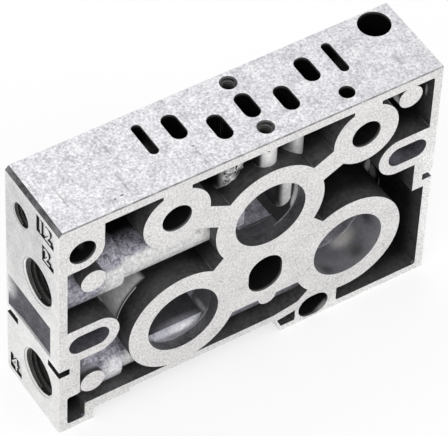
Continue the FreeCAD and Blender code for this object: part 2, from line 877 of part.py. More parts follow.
def draw_labels(sketch):
    """The sunk fields for the three port numbers."""
    front, height = cell("label_front_in"), cell("label_height")
    fields = [
        (front, cell("label_twelve_up"), cell("label_wide_width")),
        (front, cell("label_two_up"), cell("label_width")),
        (cell("label_four_in"), cell("label_four_up"), cell("label_width")),
    ]
    for inward, up, width in fields:
        draw_box(sketch, inward, up, inward + width, up + height)


def cut_end_details(body):
    end_pocket(body, "LeftNotches", draw_left_notches, cell("notch_length"))
    sketch = new_sketch(body, "RightNotchOutline", "YZ_Plane", cell("length"))
    draw_right_notch(sketch)
    pocket(body, "RightNotch", sketch, cell("notch_length"))
    sketch = new_sketch(body, "EndRecessOutline", "XY_Plane", cell("recess_top_up"))
    draw_end_recess(sketch)
    pocket(body, "EndRecess", sketch, cell("recess_top_up") - cell("recess_bottom_up"))
    end_pocket(body, "Labels", draw_labels, cell("label_depth"))


def draw_seals(sketch):
    draw_circles(gallery_places(), cell("gallery_seal_radius"))(sketch)
    draw_circles(pilot_places(), cell("pilot_seal_radius"))(sketch)


def cut_seals(body):
    """Round recesses in the back face for the rings that seal one base to the next."""
    back_pocket(body, "Seals", draw_seals, cell("seal_depth"))


# ---- the whole part ----

def build_body(document):
    body = document.addObject("PartDesign::Body", "ManifoldBase")
    body.Label = "manifold_base"
    body.setExpression("Placement.Base.x", "-Sizes.length / 2")
    body.setExpression("Placement.Base.y", "-Sizes.depth / 2")
    document.recompute()
    add_block(body)
    cut_edges(body)
    cut_cavity(body)
    add_bosses(body)
    add_tubes_clear_of_galleries(body)
    cut_galleries(body)
    add_outlet_tubes(body)
    finish_galleries(body)
    cut_front_holes(body)
    cut_ports(body)
    cut_ducts(body)
    cut_valve_face(body)
    cut_end_details(body)
    cut_seals(body)
    document.recompute()
    return body


def check_features(body):
    """Stops if a feature failed, added nothing or cut nothing."""
    volume = 0.0
    for feature in body.Group:
        if "Invalid" in feature.State or "Error" in feature.State:
            raise RuntimeError(f"{feature.Name} failed: {feature.State}")
        if not feature.TypeId.startswith("PartDesign::"):
            continue
        change = feature.Shape.Volume - volume
        adds = feature.TypeId == "PartDesign::Pad"
        if (change > 0) != adds or abs(change) < 0.1:
            raise RuntimeError(f"{feature.Name} changed the volume by {change:.2f}")
        volume = feature.Shape.Volume


def main():
    document = FreeCAD.newDocument("ManifoldBase")
    fill_sheet(document)
    body = build_body(document)
    check_features(body)
    shape = body.Shape
    if shape.isNull() or not shape.isValid() or len(shape.Solids) != 1:
        raise RuntimeError("the casting is not one valid solid")
    os.makedirs("parts", exist_ok=True)
    shape.exportStep(f"parts/{body.Label}.step")
    box = shape.BoundBox
    print(f"{body.Label}: {box.XLength:.1f} x {box.YLength:.1f} x {box.ZLength:.1f} mm, "
          f"{shape.Volume / 1000:.1f} cm3")


main()
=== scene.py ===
import math

import bmesh
import bpy
from mathutils import Matrix, Vector, noise


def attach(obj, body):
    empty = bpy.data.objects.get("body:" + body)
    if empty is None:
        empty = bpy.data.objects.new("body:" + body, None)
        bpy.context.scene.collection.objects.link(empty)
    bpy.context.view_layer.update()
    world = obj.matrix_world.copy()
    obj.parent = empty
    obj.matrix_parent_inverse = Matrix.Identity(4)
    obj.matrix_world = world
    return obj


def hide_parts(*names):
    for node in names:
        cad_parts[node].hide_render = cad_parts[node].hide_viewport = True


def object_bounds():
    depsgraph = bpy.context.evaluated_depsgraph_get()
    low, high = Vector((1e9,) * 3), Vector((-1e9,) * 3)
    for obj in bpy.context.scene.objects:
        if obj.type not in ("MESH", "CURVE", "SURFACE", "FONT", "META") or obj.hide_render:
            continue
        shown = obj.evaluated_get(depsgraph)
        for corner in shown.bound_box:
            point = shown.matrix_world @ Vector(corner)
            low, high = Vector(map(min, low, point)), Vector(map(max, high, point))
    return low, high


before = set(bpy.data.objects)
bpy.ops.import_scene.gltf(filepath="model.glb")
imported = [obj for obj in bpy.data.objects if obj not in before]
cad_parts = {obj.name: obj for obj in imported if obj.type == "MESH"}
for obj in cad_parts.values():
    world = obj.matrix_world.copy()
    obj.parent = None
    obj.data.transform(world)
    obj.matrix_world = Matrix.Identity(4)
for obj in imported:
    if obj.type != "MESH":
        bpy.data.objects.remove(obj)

mm = 0.001
cadLow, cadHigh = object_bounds()
scene = bpy.context.scene


def fromCorner(across, inward, up):
    # millimetres from the front lower left corner, as the part is measured
    return Vector((cadLow.x + across * mm, cadLow.y + inward * mm, cadLow.z + up * mm))


def only(obj):
    bpy.ops.object.select_all(action="DESELECT")
    obj.select_set(True)
    bpy.context.view_layer.objects.active = obj


def bakePlace(obj):
    only(obj)
    bpy.ops.object.transform_apply(location=True, rotation=True, scale=True)


# camera

viewpoint = {
    "place": (-0.34012, -0.49937, 0.71957),
    "right": (0.84674158, -0.5309134, 0.03405372),
    "up": (0.37853666, 0.646223, 0.66265061),
    "ahead": (0.37381639, 0.54820324, -0.74815407),
    "lens": 287.15,
    "sensorWidth": 36,
    "clip": (0.05, 20),
}


def addCamera():
    data = bpy.data.cameras.new("camera")
    data.lens = viewpoint["lens"]
    data.sensor_width = viewpoint["sensorWidth"]
    data.clip_start, data.clip_end = viewpoint["clip"]
    camera = bpy.data.objects.new("camera", data)
    scene.collection.objects.link(camera)
    back = [-v for v in viewpoint["ahead"]]
    turn = Matrix((viewpoint["right"], viewpoint["up"], back)).transposed()
    camera.matrix_world = Matrix.Translation(viewpoint["place"]) @ turn.to_4x4()
    scene.camera = camera


addCamera()
print("camera ready")


# effects that several finishes share

shares = {"patchDark": 0.55, "scratchDark": 0.45, "pitDark": 0.3, "reliefDepth": 0.0004}


def newGroup(name, inputs, outputs):
    group = bpy.data.node_groups.new(name, "ShaderNodeTree")
    for label, kind, value in inputs:
        socket = group.interface.new_socket(label, in_out="INPUT", socket_type=kind)
        if value is not None:
            socket.default_value = value
    for label, kind in outputs:
        group.interface.new_socket(label, in_out="OUTPUT", socket_type=kind)
    start = group.nodes.new("NodeGroupInput")
    end = group.nodes.new("NodeGroupOutput")
    return group, start, end


def addNode(tree, kind, **values):
    node = tree.nodes.new(kind)
    for key, value in values.items():
        setattr(node, key, value)
    return node


def mottle():
    # cloudy patches with finer specks inside them, as on bare aluminium that has been handled
    group, start, end = newGroup(
        "mottle",
        [("Vector", "NodeSocketVector", None), ("Cloud Scale", "NodeSocketFloat", 160.0),
         ("Speck Scale", "NodeSocketFloat", 1400.0), ("Speck Share", "NodeSocketFloat", 0.6),
         ("Contrast", "NodeSocketFloat", 1.0)],
        [("Value", "NodeSocketFloat")],
    )
    link = group.links.new
    cloud = addNode(group, "ShaderNodeTexNoise")
    cloud.inputs["Detail"].default_value = 4
    speck = addNode(group, "ShaderNodeTexNoise")
    speck.inputs["Detail"].default_value = 2
    speck.inputs["Roughness"].default_value = 0.6
    for texture, scale in ((cloud, "Cloud Scale"), (speck, "Speck Scale")):
        link(start.outputs["Vector"], texture.inputs["Vector"])
        link(start.outputs[scale], texture.inputs["Scale"])
    blend = addNode(group, "ShaderNodeMix")
    link(start.outputs["Speck Share"], blend.inputs[0])
    link(cloud.outputs["Fac"], blend.inputs[2])
    link(speck.outputs["Fac"], blend.inputs[3])
    centred = addNode(group, "ShaderNodeMath", operation="SUBTRACT")
    link(blend.outputs[0], centred.inputs[0])
    centred.inputs[1].default_value = 0.5
    spread = addNode(group, "ShaderNodeMath", operation="MULTIPLY_ADD", use_clamp=True)
    link(centred.outputs[0], spread.inputs[0])
    link(start.outputs["Contrast"], spread.inputs[1])
    spread.inputs[2].default_value = 0.5
    link(spread.outputs[0], end.inputs["Value"])
    return group


def patch():
    # a soft-edged area of another colour, oval or squared, with the same mottle inside it; mostly a painted
    # highlight or painted shadow
    group, start, end = newGroup(
        "patch",
        [("Vector", "NodeSocketVector", None), ("Centre", "NodeSocketVector", (0.0, 0.0, 0.0)),
         ("Reach", "NodeSocketVector", (0.01, 0.01, 0.01)), ("Square", "NodeSocketFloat", 0.0),
         ("Soft", "NodeSocketFloat", 0.4), ("Mottle", "NodeSocketFloat", 1.0),
         ("Below", "NodeSocketColor", None), ("Light", "NodeSocketColor", None)],
        [("Color", "NodeSocketColor")],
    )
    link = group.links.new
    away = addNode(group, "ShaderNodeVectorMath", operation="SUBTRACT")
    link(start.outputs["Vector"], away.inputs[0])
    link(start.outputs["Centre"], away.inputs[1])
    scaled = addNode(group, "ShaderNodeVectorMath", operation="DIVIDE")
    link(away.outputs[0], scaled.inputs[0])
    link(start.outputs["Reach"], scaled.inputs[1])
    oval = addNode(group, "ShaderNodeVectorMath", operation="LENGTH")
    link(scaled.outputs[0], oval.inputs[0])
    sides = addNode(group, "ShaderNodeVectorMath", operation="ABSOLUTE")
    link(scaled.outputs[0], sides.inputs[0])
    split = addNode(group, "ShaderNodeSeparateXYZ")
    link(sides.outputs[0], split.inputs[0])
    wider = addNode(group, "ShaderNodeMath", operation="MAXIMUM")
    link(split.outputs[0], wider.inputs[0])
    link(split.outputs[1], wider.inputs[1])
    widest = addNode(group, "ShaderNodeMath", operation="MAXIMUM")
    link(wider.outputs[0], widest.inputs[0])
    link(split.outputs[2], widest.inputs[1])
    form = addNode(group, "ShaderNodeMix")
    link(start.outputs["Square"], form.inputs[0])
    link(oval.outputs["Value"], form.inputs[2])
    link(widest.outputs[0], form.inputs[3])
    inner = addNode(group, "ShaderNodeMath", operation="SUBTRACT")
    inner.inputs[0].default_value = 1.0
    link(start.outputs["Soft"], inner.inputs[1])
    mask = addNode(group, "ShaderNodeMapRange", interpolation_type="SMOOTHSTEP")
    link(form.outputs[0], mask.inputs["Value"])
    link(inner.outputs[0], mask.inputs["From Min"])
    mask.inputs["From Max"].default_value = 1.0
    mask.inputs["To Min"].default_value = 1.0
    mask.inputs["To Max"].default_value = 0.0
    level = addNode(group, "ShaderNodeMapRange")
    level.inputs["To Min"].default_value = shares["patchDark"]
    link(start.outputs["Mottle"], level.inputs["Value"])
    shade = addNode(group, "ShaderNodeVectorMath", operation="SCALE")
    link(start.outputs["Light"], shade.inputs[0])
    link(level.outputs["Result"], shade.inputs["Scale"])
    laid = addNode(group, "ShaderNodeMix", data_type="RGBA")
    link(mask.outputs["Result"], laid.inputs[0])
    link(start.outputs["Below"], laid.inputs[6])
    link(shade.outputs[0], laid.inputs[7])
    link(laid.outputs[2], end.inputs["Color"])
    return group


def edgeLine():
    # 1 along sharp outer edges, 0 on flats: compares a rounded normal with the true one; it lays each
    #                                        finish's rim, a painted highlight or painted dark line
    group, start, end = newGroup(
        "edgeLine",
        [("Width", "NodeSocketFloat", 0.0003), ("Strength", "NodeSocketFloat", 3.0)],
        [("Mask", "NodeSocketFloat")],
    )
    link = group.links.new
    bevel = addNode(group, "ShaderNodeBevel", samples=4)
    link(start.outputs["Width"], bevel.inputs["Radius"])
    shape = addNode(group, "ShaderNodeNewGeometry")
    alike = addNode(group, "ShaderNodeVectorMath", operation="DOT_PRODUCT")
    link(bevel.outputs["Normal"], alike.inputs[0])
    link(shape.outputs["Normal"], alike.inputs[1])
    away = addNode(group, "ShaderNodeMath", operation="SUBTRACT")
    away.inputs[0].default_value = 1.0
    link(alike.outputs["Value"], away.inputs[1])
    spread = addNode(group, "ShaderNodeMath", operation="MULTIPLY", use_clamp=True)
    link(away.outputs[0], spread.inputs[0])
    link(start.outputs["Strength"], spread.inputs[1])
    link(spread.outputs[0], end.inputs["Mask"])
    return group


def scratches():
    # fine straight marks in one direction, broken up along their length
    group, start, end = newGroup(
        "scratches",
        [("Vector", "NodeSocketVector", None), ("Scale", "NodeSocketFloat", 900.0),
         ("Stretch", "NodeSocketVector", (1.0, 0.06, 1.0)), ("Amount", "NodeSocketFloat", 0.3)],
        [("Mask", "NodeSocketFloat")],
    )
    link = group.links.new
    squeeze = addNode(group, "ShaderNodeVectorMath", operation="MULTIPLY")
    link(start.outputs["Vector"], squeeze.inputs[0])
    link(start.outputs["Stretch"], squeeze.inputs[1])
    lines = addNode(group, "ShaderNodeTexNoise")
    lines.inputs["Detail"].default_value = 2
    link(squeeze.outputs[0], lines.inputs["Vector"])
    link(start.outputs["Scale"], lines.inputs["Scale"])
    lift = addNode(group, "ShaderNodeMapRange")
    lift.inputs["From Min"].default_value = 0.6
    lift.inputs["From Max"].default_value = 0.8
    link(lines.outputs["Fac"], lift.inputs["Value"])
    level = addNode(group, "ShaderNodeMath", operation="MULTIPLY")
    link(lift.outputs["Result"], level.inputs[0])
    link(start.outputs["Amount"], level.inputs[1])
    link(level.outputs[0], end.inputs["Mask"])
    return group


def pits():
    # small dark specks scattered thinly over a machined face
    group, start, end = newGroup(
        "pits",
        [("Vector", "NodeSocketVector", None), ("Scale", "NodeSocketFloat", 1100.0),
         ("Amount", "NodeSocketFloat", 0.5)],
        [("Mask", "NodeSocketFloat")],
    )
    link = group.links.new
    specks = addNode(group, "ShaderNodeTexNoise")
    specks.inputs["Detail"].default_value = 3
    link(start.outputs["Vector"], specks.inputs["Vector"])
    link(start.outputs["Scale"], specks.inputs["Scale"])
    lift = addNode(group, "ShaderNodeMapRange")
    lift.inputs["From Min"].default_value = 0.64
    lift.inputs["From Max"].default_value = 0.74
    link(specks.outputs["Fac"], lift.inputs["Value"])
    level = addNode(group, "ShaderNodeMath", operation="MULTIPLY")
    link(lift.outputs["Result"], level.inputs[0])
    link(start.outputs["Amount"], level.inputs[1])
    link(level.outputs[0], end.inputs["Mask"])
    return group


mottleGroup, edgeGroup, scratchGroup = mottle(), edgeLine(), scratches()
patchGroup, pitGroup = patch(), pits()
print("shared effects ready")


# finishes of the casting; a fade darkens a finish from one depth to another, a painted shade where light
# doesn't reach; the rim is a painted highlight or painted dark line along edges; each patch is (centre,
# reach, colour, square, soft), in millimetres from the front lower left corner, mostly a painted highlight
# or painted shadow and a few real nicks and a pit; what a finish doesn't name is as in the plain one

plainFinish = {
    "rimWidth": 0.0002, "metallic": 0.4, "specular": 0.5, "roughness": (0.3, 0.5), "cloud": 260,
    "speck": 1500, "share": 0.5, "contrast": 2.4, "grain": 0.1, "stretch": (1.0, 1.0, 1.0),
    "scratch": 0.1, "pits": 0.0, "fade": None, "patches": (),
}
finishes = {
    "topFace": {
        "light": (0.95, 0.945, 0.97), "dark": (0.42, 0.415, 0.45), "rim": (0.62, 0.615, 0.63),
        "metallic": 0.45, "roughness": (0.36, 0.55), "share": 0.72, "contrast": 2.7,
        "stretch": (1.0, 0.12, 1.0), "scratch": 0.5, "pits": 0.55,
        "patches": (
            ((19.8, 3.6, 76.4), (0.7, 0.3, 1), (0.06, 0.06, 0.06), 0, 0.6),
            ((17.6, 3.35, 76.4), (0.45, 0.25, 1), (0.08, 0.08, 0.08), 0, 0.6),
            ((43.1, 8.7, 76.4), (0.6, 0.28, 1), (0.1, 0.1, 0.11), 0, 0.7),
        ),
    },
    # the upper part of the left end is painted darker, as shade
    "endFace": {
        "light": (0.95, 0.945, 0.94), "dark": (0.66, 0.655, 0.65), "rim": (0.97, 0.97, 0.97),
        "rimWidth": 0.0003, "roughness": (0.34, 0.5), "cloud": 180, "share": 0.6, "grain": 0.08,
        "stretch": (1.0, 1.0, 0.25), "scratch": 0.25, "pits": 0.25,
        "patches": (
            ((0, 17, 60), (3, 22, 34), (0.8, 0.79, 0.79), 0, 0.7),
        ),
    },
    # the lower and right-hand lands carry painted highlights
    "frontLand": {
        "light": (0.87, 0.86, 0.85), "dark": (0.5, 0.49, 0.49), "rim": (0.97, 0.97, 0.96),
        "rimWidth": 0.00025, "roughness": (0.34, 0.55), "cloud": 200, "speck": 1700, "share": 0.8,
        "contrast": 2.7, "stretch": (0.3, 1.0, 1.0), "scratch": 0.3, "pits": 0.5,
        "patches": (
            ((60, 0, -2), (75, 2, 10), (1.0, 1.0, 0.99), 1, 0.7),
            ((113, 0, 30), (9, 2, 40), (1.0, 1.0, 0.99), 1, 0.8),
        ),
    },
    # the seat walls are painted dark, as shade inside the bores
    "seatWall": {
        "light": (0.16, 0.158, 0.165), "dark": (0.035, 0.035, 0.038), "rim": (0.3, 0.3, 0.31),
        "specular": 0.3, "roughness": (0.25, 0.45), "cloud": 220, "speck": 1300,
        "stretch": (1.0, 4.0, 1.0), "scratch": 0.3,
    },
    # the step carries a painted highlight on its right-hand arc and painted shade over most of the rest
    "seatStep": {
        "light": (0.72, 0.72, 0.75), "dark": (0.3, 0.3, 0.33), "rim": (0.3, 0.3, 0.31),
        "rimWidth": 0.0001, "metallic": 0.5, "roughness": (0.25, 0.4), "cloud": 220, "speck": 1300,
        "grain": 0.05,
        "patches": (
            ((57, 3.5, 45), (11.5, 1.5, 14), (0.05, 0.05, 0.055), 0, 0.25),
            ((71.8, 3.5, 47.5), (3.2, 1.2, 6.6), (1.0, 1.0, 1.0), 0, 0.3),
            ((54.4, 3.5, 45.5), (1.8, 1.2, 4.5), (0.4, 0.395, 0.45), 0, 0.6),
            ((46.6, 3.0, 24.5), (3.4, 1.2, 6.6), (0.05, 0.05, 0.055), 0, 0.3),
        ),
    },
    # the right seat carries a painted reflection and patches of painted shade
    "smoothSeat": {
        "light": (0.46, 0.45, 0.475), "dark": (0.17, 0.165, 0.185), "rim": (0.46, 0.46, 0.47),
        "metallic": 0.5, "roughness": (0.22, 0.42), "cloud": 90, "speck": 900, "share": 0.25,
        "grain": 0.04, "stretch": (1.0, 4.0, 1.0), "scratch": 0.3,
        "patches": (
            ((91.6, 8.9, 14.2), (5.4, 3.6, 4.4), (1.0, 0.98, 0.94), 0, 0.85),
            ((92.0, 3.2, 14.3), (3.6, 3.2, 3.4), (0.17, 0.168, 0.17), 0, 0.95),
            ((96.9, 6.5, 22.0), (2.4, 3.6, 4.0), (0.16, 0.16, 0.2), 0, 0.95),
            ((82.0, 2.0, 13.6), (4.0, 3.0, 2.8), (0.17, 0.168, 0.175), 0, 0.95),
        ),
    },
    # the cast bore wall fades dark with depth as painted shade, with painted shadows and a painted highlight
    # beside the finger
    "castBore": {
        "light": (0.62, 0.615, 0.69), "dark": (0.15, 0.147, 0.18), "rim": (0.5, 0.5, 0.53),
        "cloud": 420, "contrast": 3.0, "grain": 0.2, "fade": (1, 13.0, 20.0, 0.15),
        "patches": (
            ((70.8, 9.0, 45), (5.0, 9, 9), (0.045, 0.044, 0.046), 1, 0.08),
            ((71.6, 3.7, 47.5), (2.2, 1.2, 6.0), (1.0, 1.0, 1.0), 0, 0.3),
            ((45.5, 6.0, 22.0), (4.0, 4.4, 9.0), (0.17, 0.168, 0.185), 1, 0.3),
            ((59.5, 5.3, 37.4), (12.5, 2.0, 2.72), (0.12, 0.118, 0.13), 1, 0.04),
            ((55.0, 4.4, 41.0), (2.6, 1.7, 1.6), (0.13, 0.128, 0.142), 1, 0.15),
            ((45.2, 5.4, 18.2), (1.0, 3.6, 1.1), (0.46, 0.455, 0.48), 0, 0.6),
            ((86.5, 14, 23), (12, 4, 12), (0.3, 0.297, 0.33), 1, 0.2),
        ),
    },
    # the sill front's bright bar is a painted highlight, with a painted dark line along its edges
    "sillFront": {
        "light": (0.62, 0.62, 0.68), "dark": (0.22, 0.22, 0.26), "rim": (0.035, 0.035, 0.04),
        "rimWidth": 0.0005, "metallic": 0.5, "roughness": (0.25, 0.4), "cloud": 300, "speck": 1300,
        "contrast": 2.6, "grain": 0.2, "stretch": (0.3, 1.0, 1.0), "scratch": 0.2,
        "patches": (
            ((38.5, 3.4, 15.6), (7.0, 2.0, 1.5), (0.9, 0.9, 0.93), 0, 0.8),
            ((31.0, 3.4, 14.5), (3.2, 2.0, 2.2), (0.62, 0.62, 0.68), 0, 0.8),
        ),
    },
    # the sill top is painted dark, as shade inside the bore, with painted light near its front
    "sillTop": {
        "light": (0.1, 0.098, 0.105), "dark": (0.035, 0.034, 0.037), "rim": (0.3, 0.3, 0.32),
        "rimWidth": 0.0003, "metallic": 0.3, "specular": 0.3, "roughness": (0.35, 0.55), "cloud": 300,
        "speck": 1300, "contrast": 2.2, "grain": 0.15,
        "patches": (
            ((37.5, 4.2, 17.2), (10, 2.6, 1.5), (0.38, 0.38, 0.42), 0, 0.95),
        ),
    },
    # the port bosses carry patches of painted light and fade dark deeper in as painted shade
    "portBoss": {
        "light": (0.47, 0.455, 0.53), "dark": (0.085, 0.082, 0.1), "rim": (0.62, 0.61, 0.66),
        "rimWidth": 0.0003, "metallic": 0.35, "roughness": (0.36, 0.6), "cloud": 700, "speck": 1800,
        "contrast": 3.8, "grain": 0.3, "fade": (1, 6.4, 10.4, 0.035),
        "patches": (
            ((41, -0.4, 50), (25, 6.4, 16), (0.93, 0.92, 0.91), 0, 0.35),
            ((27, 3.0, 47.2), (16, 6.0, 5.6), (0.84, 0.83, 0.83), 1, 0.35),
            ((22.6, 2.9, 13.2), (3.8, 3.0, 5.0), (1.0, 1.0, 1.0), 0, 0.6),
            ((17.0, 2.9, 13.2), (5.4, 2.6, 5.2), (0.92, 0.91, 0.94), 0, 0.5),
        ),
    },
    # the tube skin fades dark deeper in as painted shade, with painted shadow round the top tubes
    "tubeSkin": {
        "light": (0.4, 0.39, 0.45), "dark": (0.1, 0.098, 0.12), "rim": (0.5, 0.49, 0.52),
        "rimWidth": 0.0003, "metallic": 0.35, "roughness": (0.36, 0.6), "cloud": 420, "contrast": 3.0,
        "grain": 0.3, "fade": (1, 5.0, 9.5, 0.05),
        "patches": (
            ((62, 9, 68), (24, 12, 11), (0.02, 0.02, 0.02), 1, 0.05),
        ),
    },
    # the tubes' front faces are painted lighter than their skin as their lit side, with painted dark flanks,
    # a painted highlight on the finger and painted shade with depth; the small dark spot is a real pit
    "tubeFront": {
        "light": (0.93, 0.92, 0.91), "dark": (0.55, 0.545, 0.55), "rim": (0.8, 0.79, 0.8),
        "rimWidth": 0.0003, "metallic": 0.35, "cloud": 300, "grain": 0.2, "pits": 0.3,
        "fade": (1, 5.8, 8.2, 0.03),
        "patches": (
            ((46.6, 6.5, 67), (4.0, 4, 9), (0.02, 0.02, 0.02), 1, 0.4),
            ((56.6, 6.5, 66), (3.9, 4, 9), (0.015, 0.015, 0.015), 1, 0.25),
            ((57.2, 4.5, 68), (2.9, 4, 9), (0.02, 0.02, 0.02), 1, 0.45),
            ((61.15, 1.9, 70.8), (0.36, 1, 0.36), (0.01, 0.01, 0.01), 0, 0.4),
            ((67.8, 6.5, 68), (4.6, 4, 9.5), (0.02, 0.02, 0.02), 1, 0.95),
            ((70.9, 4.9, 48), (2.6, 1.2, 9.5), (1.0, 1.0, 1.0), 0, 0.6),
            ((67.5, 7.0, 48), (1.9, 4, 9), (0.02, 0.02, 0.02), 1, 0.6),
        ),
    },
    # the pocket floor is painted near black, as shade, with one painted highlight
    "pocketFloor": {
        "light": (0.035, 0.034, 0.035), "dark": (0.01, 0.01, 0.01), "rim": (0.03, 0.03, 0.03),
        "metallic": 0.0, "specular": 0.2, "roughness": (0.45, 0.7), "cloud": 150, "speck": 900,
        "contrast": 2.2, "grain": 0.3, "scratch": 0.0,
        "patches": (
            ((108.4, 23, 20.0), (1.5, 3, 3.4), (0.8, 0.8, 0.82), 0, 0.6),
        ),
    },
    # the pocket walls are painted dark, as shade, darker with depth, with painted light where light reaches
    # in
    "pocketWall": {
        "light": (0.1, 0.098, 0.1), "dark": (0.022, 0.021, 0.022), "rim": (0.7, 0.69, 0.7),
        "rimWidth": 0.00025, "metallic": 0.1, "specular": 0.3, "roughness": (0.36, 0.6), "cloud": 170,
        "speck": 900, "grain": 0.25, "scratch": 0.0, "fade": (1, 1.2, 7.0, 0.28),
        "patches": (
            ((22.4, 11.6, 31.0), (6.8, 5.2, 9.0), (1.0, 0.99, 1.0), 1, 0.25),
            ((9.8, 3.7, 16.5), (5.0, 3.2, 4.5), (0.55, 0.53, 0.6), 0, 0.35),
            ((98.4, 3.2, 69.8), (2.2, 4.0, 3.4), (0.95, 0.95, 0.95), 0, 0.6),
            ((109.4, 3.0, 66.6), (1.5, 0.6, 2.6), (0.6, 0.6, 0.6), 0, 0.6),
            ((109.3, 22, 18.2), (1.5, 2.6, 3.2), (0.7, 0.7, 0.72), 0, 0.6),
            ((109.3, 18.6, 16.6), (1.5, 0.45, 3.0), (0.5, 0.5, 0.52), 0, 0.6),
        ),
    },
    # the slot walls are painted dark, as shade, darker below the top
    "slotWall": {
        "light": (0.16, 0.158, 0.16), "dark": (0.05, 0.049, 0.05), "rim": (0.05, 0.05, 0.05),
        "rimWidth": 0.0001, "metallic": 0.2, "specular": 0.15, "roughness": (0.45, 0.7), "speck": 1300,
        "contrast": 1.8, "fade": (2, 76.3, 75.3, 0.03),
    },
    # the holes are painted dark, as shade, darker with depth, with spots of painted light
    "deepHole": {
        "light": (0.26, 0.255, 0.26), "dark": (0.1, 0.098, 0.1), "rim": (0.75, 0.74, 0.74),
        "metallic": 0.2, "specular": 0.15, "roughness": (0.4, 0.65), "speck": 1300, "contrast": 1.8,
        "fade": (1, 0.1, 1.0, 0.05),
        "patches": (
            ((9.6, 5.6, 62.9), (2.6, 3.2, 1.4), (0.22, 0.22, 0.23), 0, 0.9),
            ((79.6, 0.5, 2.4), (3.4, 1.4, 2.6), (0.55, 0.55, 0.54), 0, 0.8),
        ),
    },
    # the tie slots fade dark with depth as painted shade, with painted light near their fronts
    "tieSlot": {
        "light": (0.2, 0.195, 0.22), "dark": (0.06, 0.058, 0.068), "rim": (0.6, 0.6, 0.62),
        "metallic": 0.35, "specular": 0.3, "roughness": (0.35, 0.6), "cloud": 200, "speck": 1100,
        "contrast": 2.6, "fade": (1, 3.0, 12.0, 0.5),
        "patches": (
            ((14.4, 2.4, 33.6), (2.6, 3.0, 2.4), (0.6, 0.6, 0.62), 0, 0.9),
            ((100.6, 3.4, 46.2), (4.2, 4.0, 3.0), (0.36, 0.35, 0.42), 0, 0.9),
        ),
    },
    "threadMouth": {
        "light": (0.93, 0.925, 0.92), "dark": (0.62, 0.615, 0.61), "rim": (0.16, 0.158, 0.155),
        "rimWidth": 0.00022, "metallic": 0.45, "roughness": (0.28, 0.42), "cloud": 300,
        "contrast": 2.0, "grain": 0.04,
    },
    # the tapped bores' walls are painted near black, as shade
    "threadWall": {
        "light": (0.03, 0.029, 0.028), "dark": (0.01, 0.01, 0.01), "rim": (0.02, 0.02, 0.02),
        "rimWidth": 0.0001, "metallic": 0.1, "specular": 0.15, "roughness": (0.45, 0.7), "cloud": 300,
        "contrast": 2.0, "grain": 0.03,
    },
    # the ridges are painted dark as shade, darker with depth, with painted highlights along their crests
    "thread": {
        "light": (0.06, 0.058, 0.056), "dark": (0.02, 0.02, 0.019), "rim": (0.62, 0.61, 0.6),
        "rimWidth": 0.0001, "metallic": 0.3, "specular": 0.3, "cloud": 400, "contrast": 1.8,
        "grain": 0.03, "fade": (0, 2.2, 7.5, 0.15),
    },
    "screwThread": {
        "light": (0.1, 0.098, 0.096), "dark": (0.05, 0.049, 0.048), "rim": (0.85, 0.84, 0.83),
        "rimWidth": 0.00009, "metallic": 0.3, "specular": 0.3, "cloud": 400, "contrast": 1.8,
        "grain": 0.03, "fade": (2, 75.4, 72.0, 0.1),
    },
    # the recess carries a painted reflection at its upper back and painted highlights along its edges
    "rawRecess": {
        "light": (0.125, 0.12, 0.142), "dark": (0.038, 0.036, 0.045), "rim": (0.93, 0.93, 0.92),
        "rimWidth": 0.0003, "metallic": 0.2, "specular": 0.3, "roughness": (0.5, 0.72), "speck": 1300,
        "contrast": 2.8, "grain": 0.35, "scratch": 0.0,
        "patches": (
            ((0.3, 26.6, 33.6), (2, 6.4, 6.6), (0.96, 0.96, 0.97), 0, 0.85),
        ),
    },
    # painted shadows lie along each field's back and lower walls, with a painted dark line at its edges
    "numberField": {
        "light": (0.95, 0.945, 0.94), "dark": (0.7, 0.695, 0.69), "rim": (0.2, 0.2, 0.2),
        "rimWidth": 0.0001, "roughness": (0.34, 0.5), "cloud": 180, "grain": 0.08,
        "stretch": (1.0, 1.0, 0.25), "scratch": 0.25,
        "patches": (
            ((0.5, 10.8, 71.0), (2, 0.6, 3.2), (0.02, 0.02, 0.02), 1, 0.3),
            ((0.5, 6.65, 68.1), (2, 4.4, 0.5), (0.02, 0.02, 0.02), 1, 0.3),
            ((0.5, 8.1, 62.6), (2, 0.6, 3.2), (0.02, 0.02, 0.02), 1, 0.3),
            ((0.5, 5.3, 59.7), (2, 3.0, 0.5), (0.02, 0.02, 0.02), 1, 0.3),
            ((0.5, 24.6, 4.6), (2, 0.5, 3.2), (0.02, 0.02, 0.02), 1, 0.3),
            ((0.5, 21.8, 1.7), (2, 3.0, 0.4), (0.02, 0.02, 0.02), 1, 0.3),
        ),
    },
    "darkEdge": {
        "light": (0.16, 0.156, 0.165), "dark": (0.02, 0.02, 0.022), "rim": (0.16, 0.16, 0.165),
        "metallic": 0.2, "specular": 0.3, "roughness": (0.4, 0.6), "cloud": 330, "speck": 1300,
        "share": 0.35, "contrast": 3.4,
        "patches": (
            ((0.6, 1.5, 75.9), (2, 4.0, 2), (0.22, 0.215, 0.22), 0, 0.9),
            ((0.6, 26.0, 75.9), (2, 3.0, 2), (0.3, 0.29, 0.3), 0, 0.9),
        ),
    },
    # the front chamfer is painted dark as its shadow line
    "frontEdge": {
        "light": (0.4, 0.395, 0.4), "dark": (0.1, 0.098, 0.1), "rim": (0.4, 0.4, 0.4),
        "rimWidth": 0.0001, "metallic": 0.3, "roughness": (0.4, 0.6), "cloud": 330, "speck": 1300,
        "share": 0.4, "contrast": 3.2,
    },
    # painted shadow: black for the notches, the number fields' walls, the digits' sides and their shadow
    # copies
    "paintedShadow": {
        "light": (0.03, 0.029, 0.03), "dark": (0.01, 0.01, 0.01), "rim": (0.03, 0.03, 0.03),
        "metallic": 0.0, "specular": 0.1, "roughness": (0.5, 0.7), "speck": 1300, "contrast": 2.0,
        "scratch": 0.0,
    },
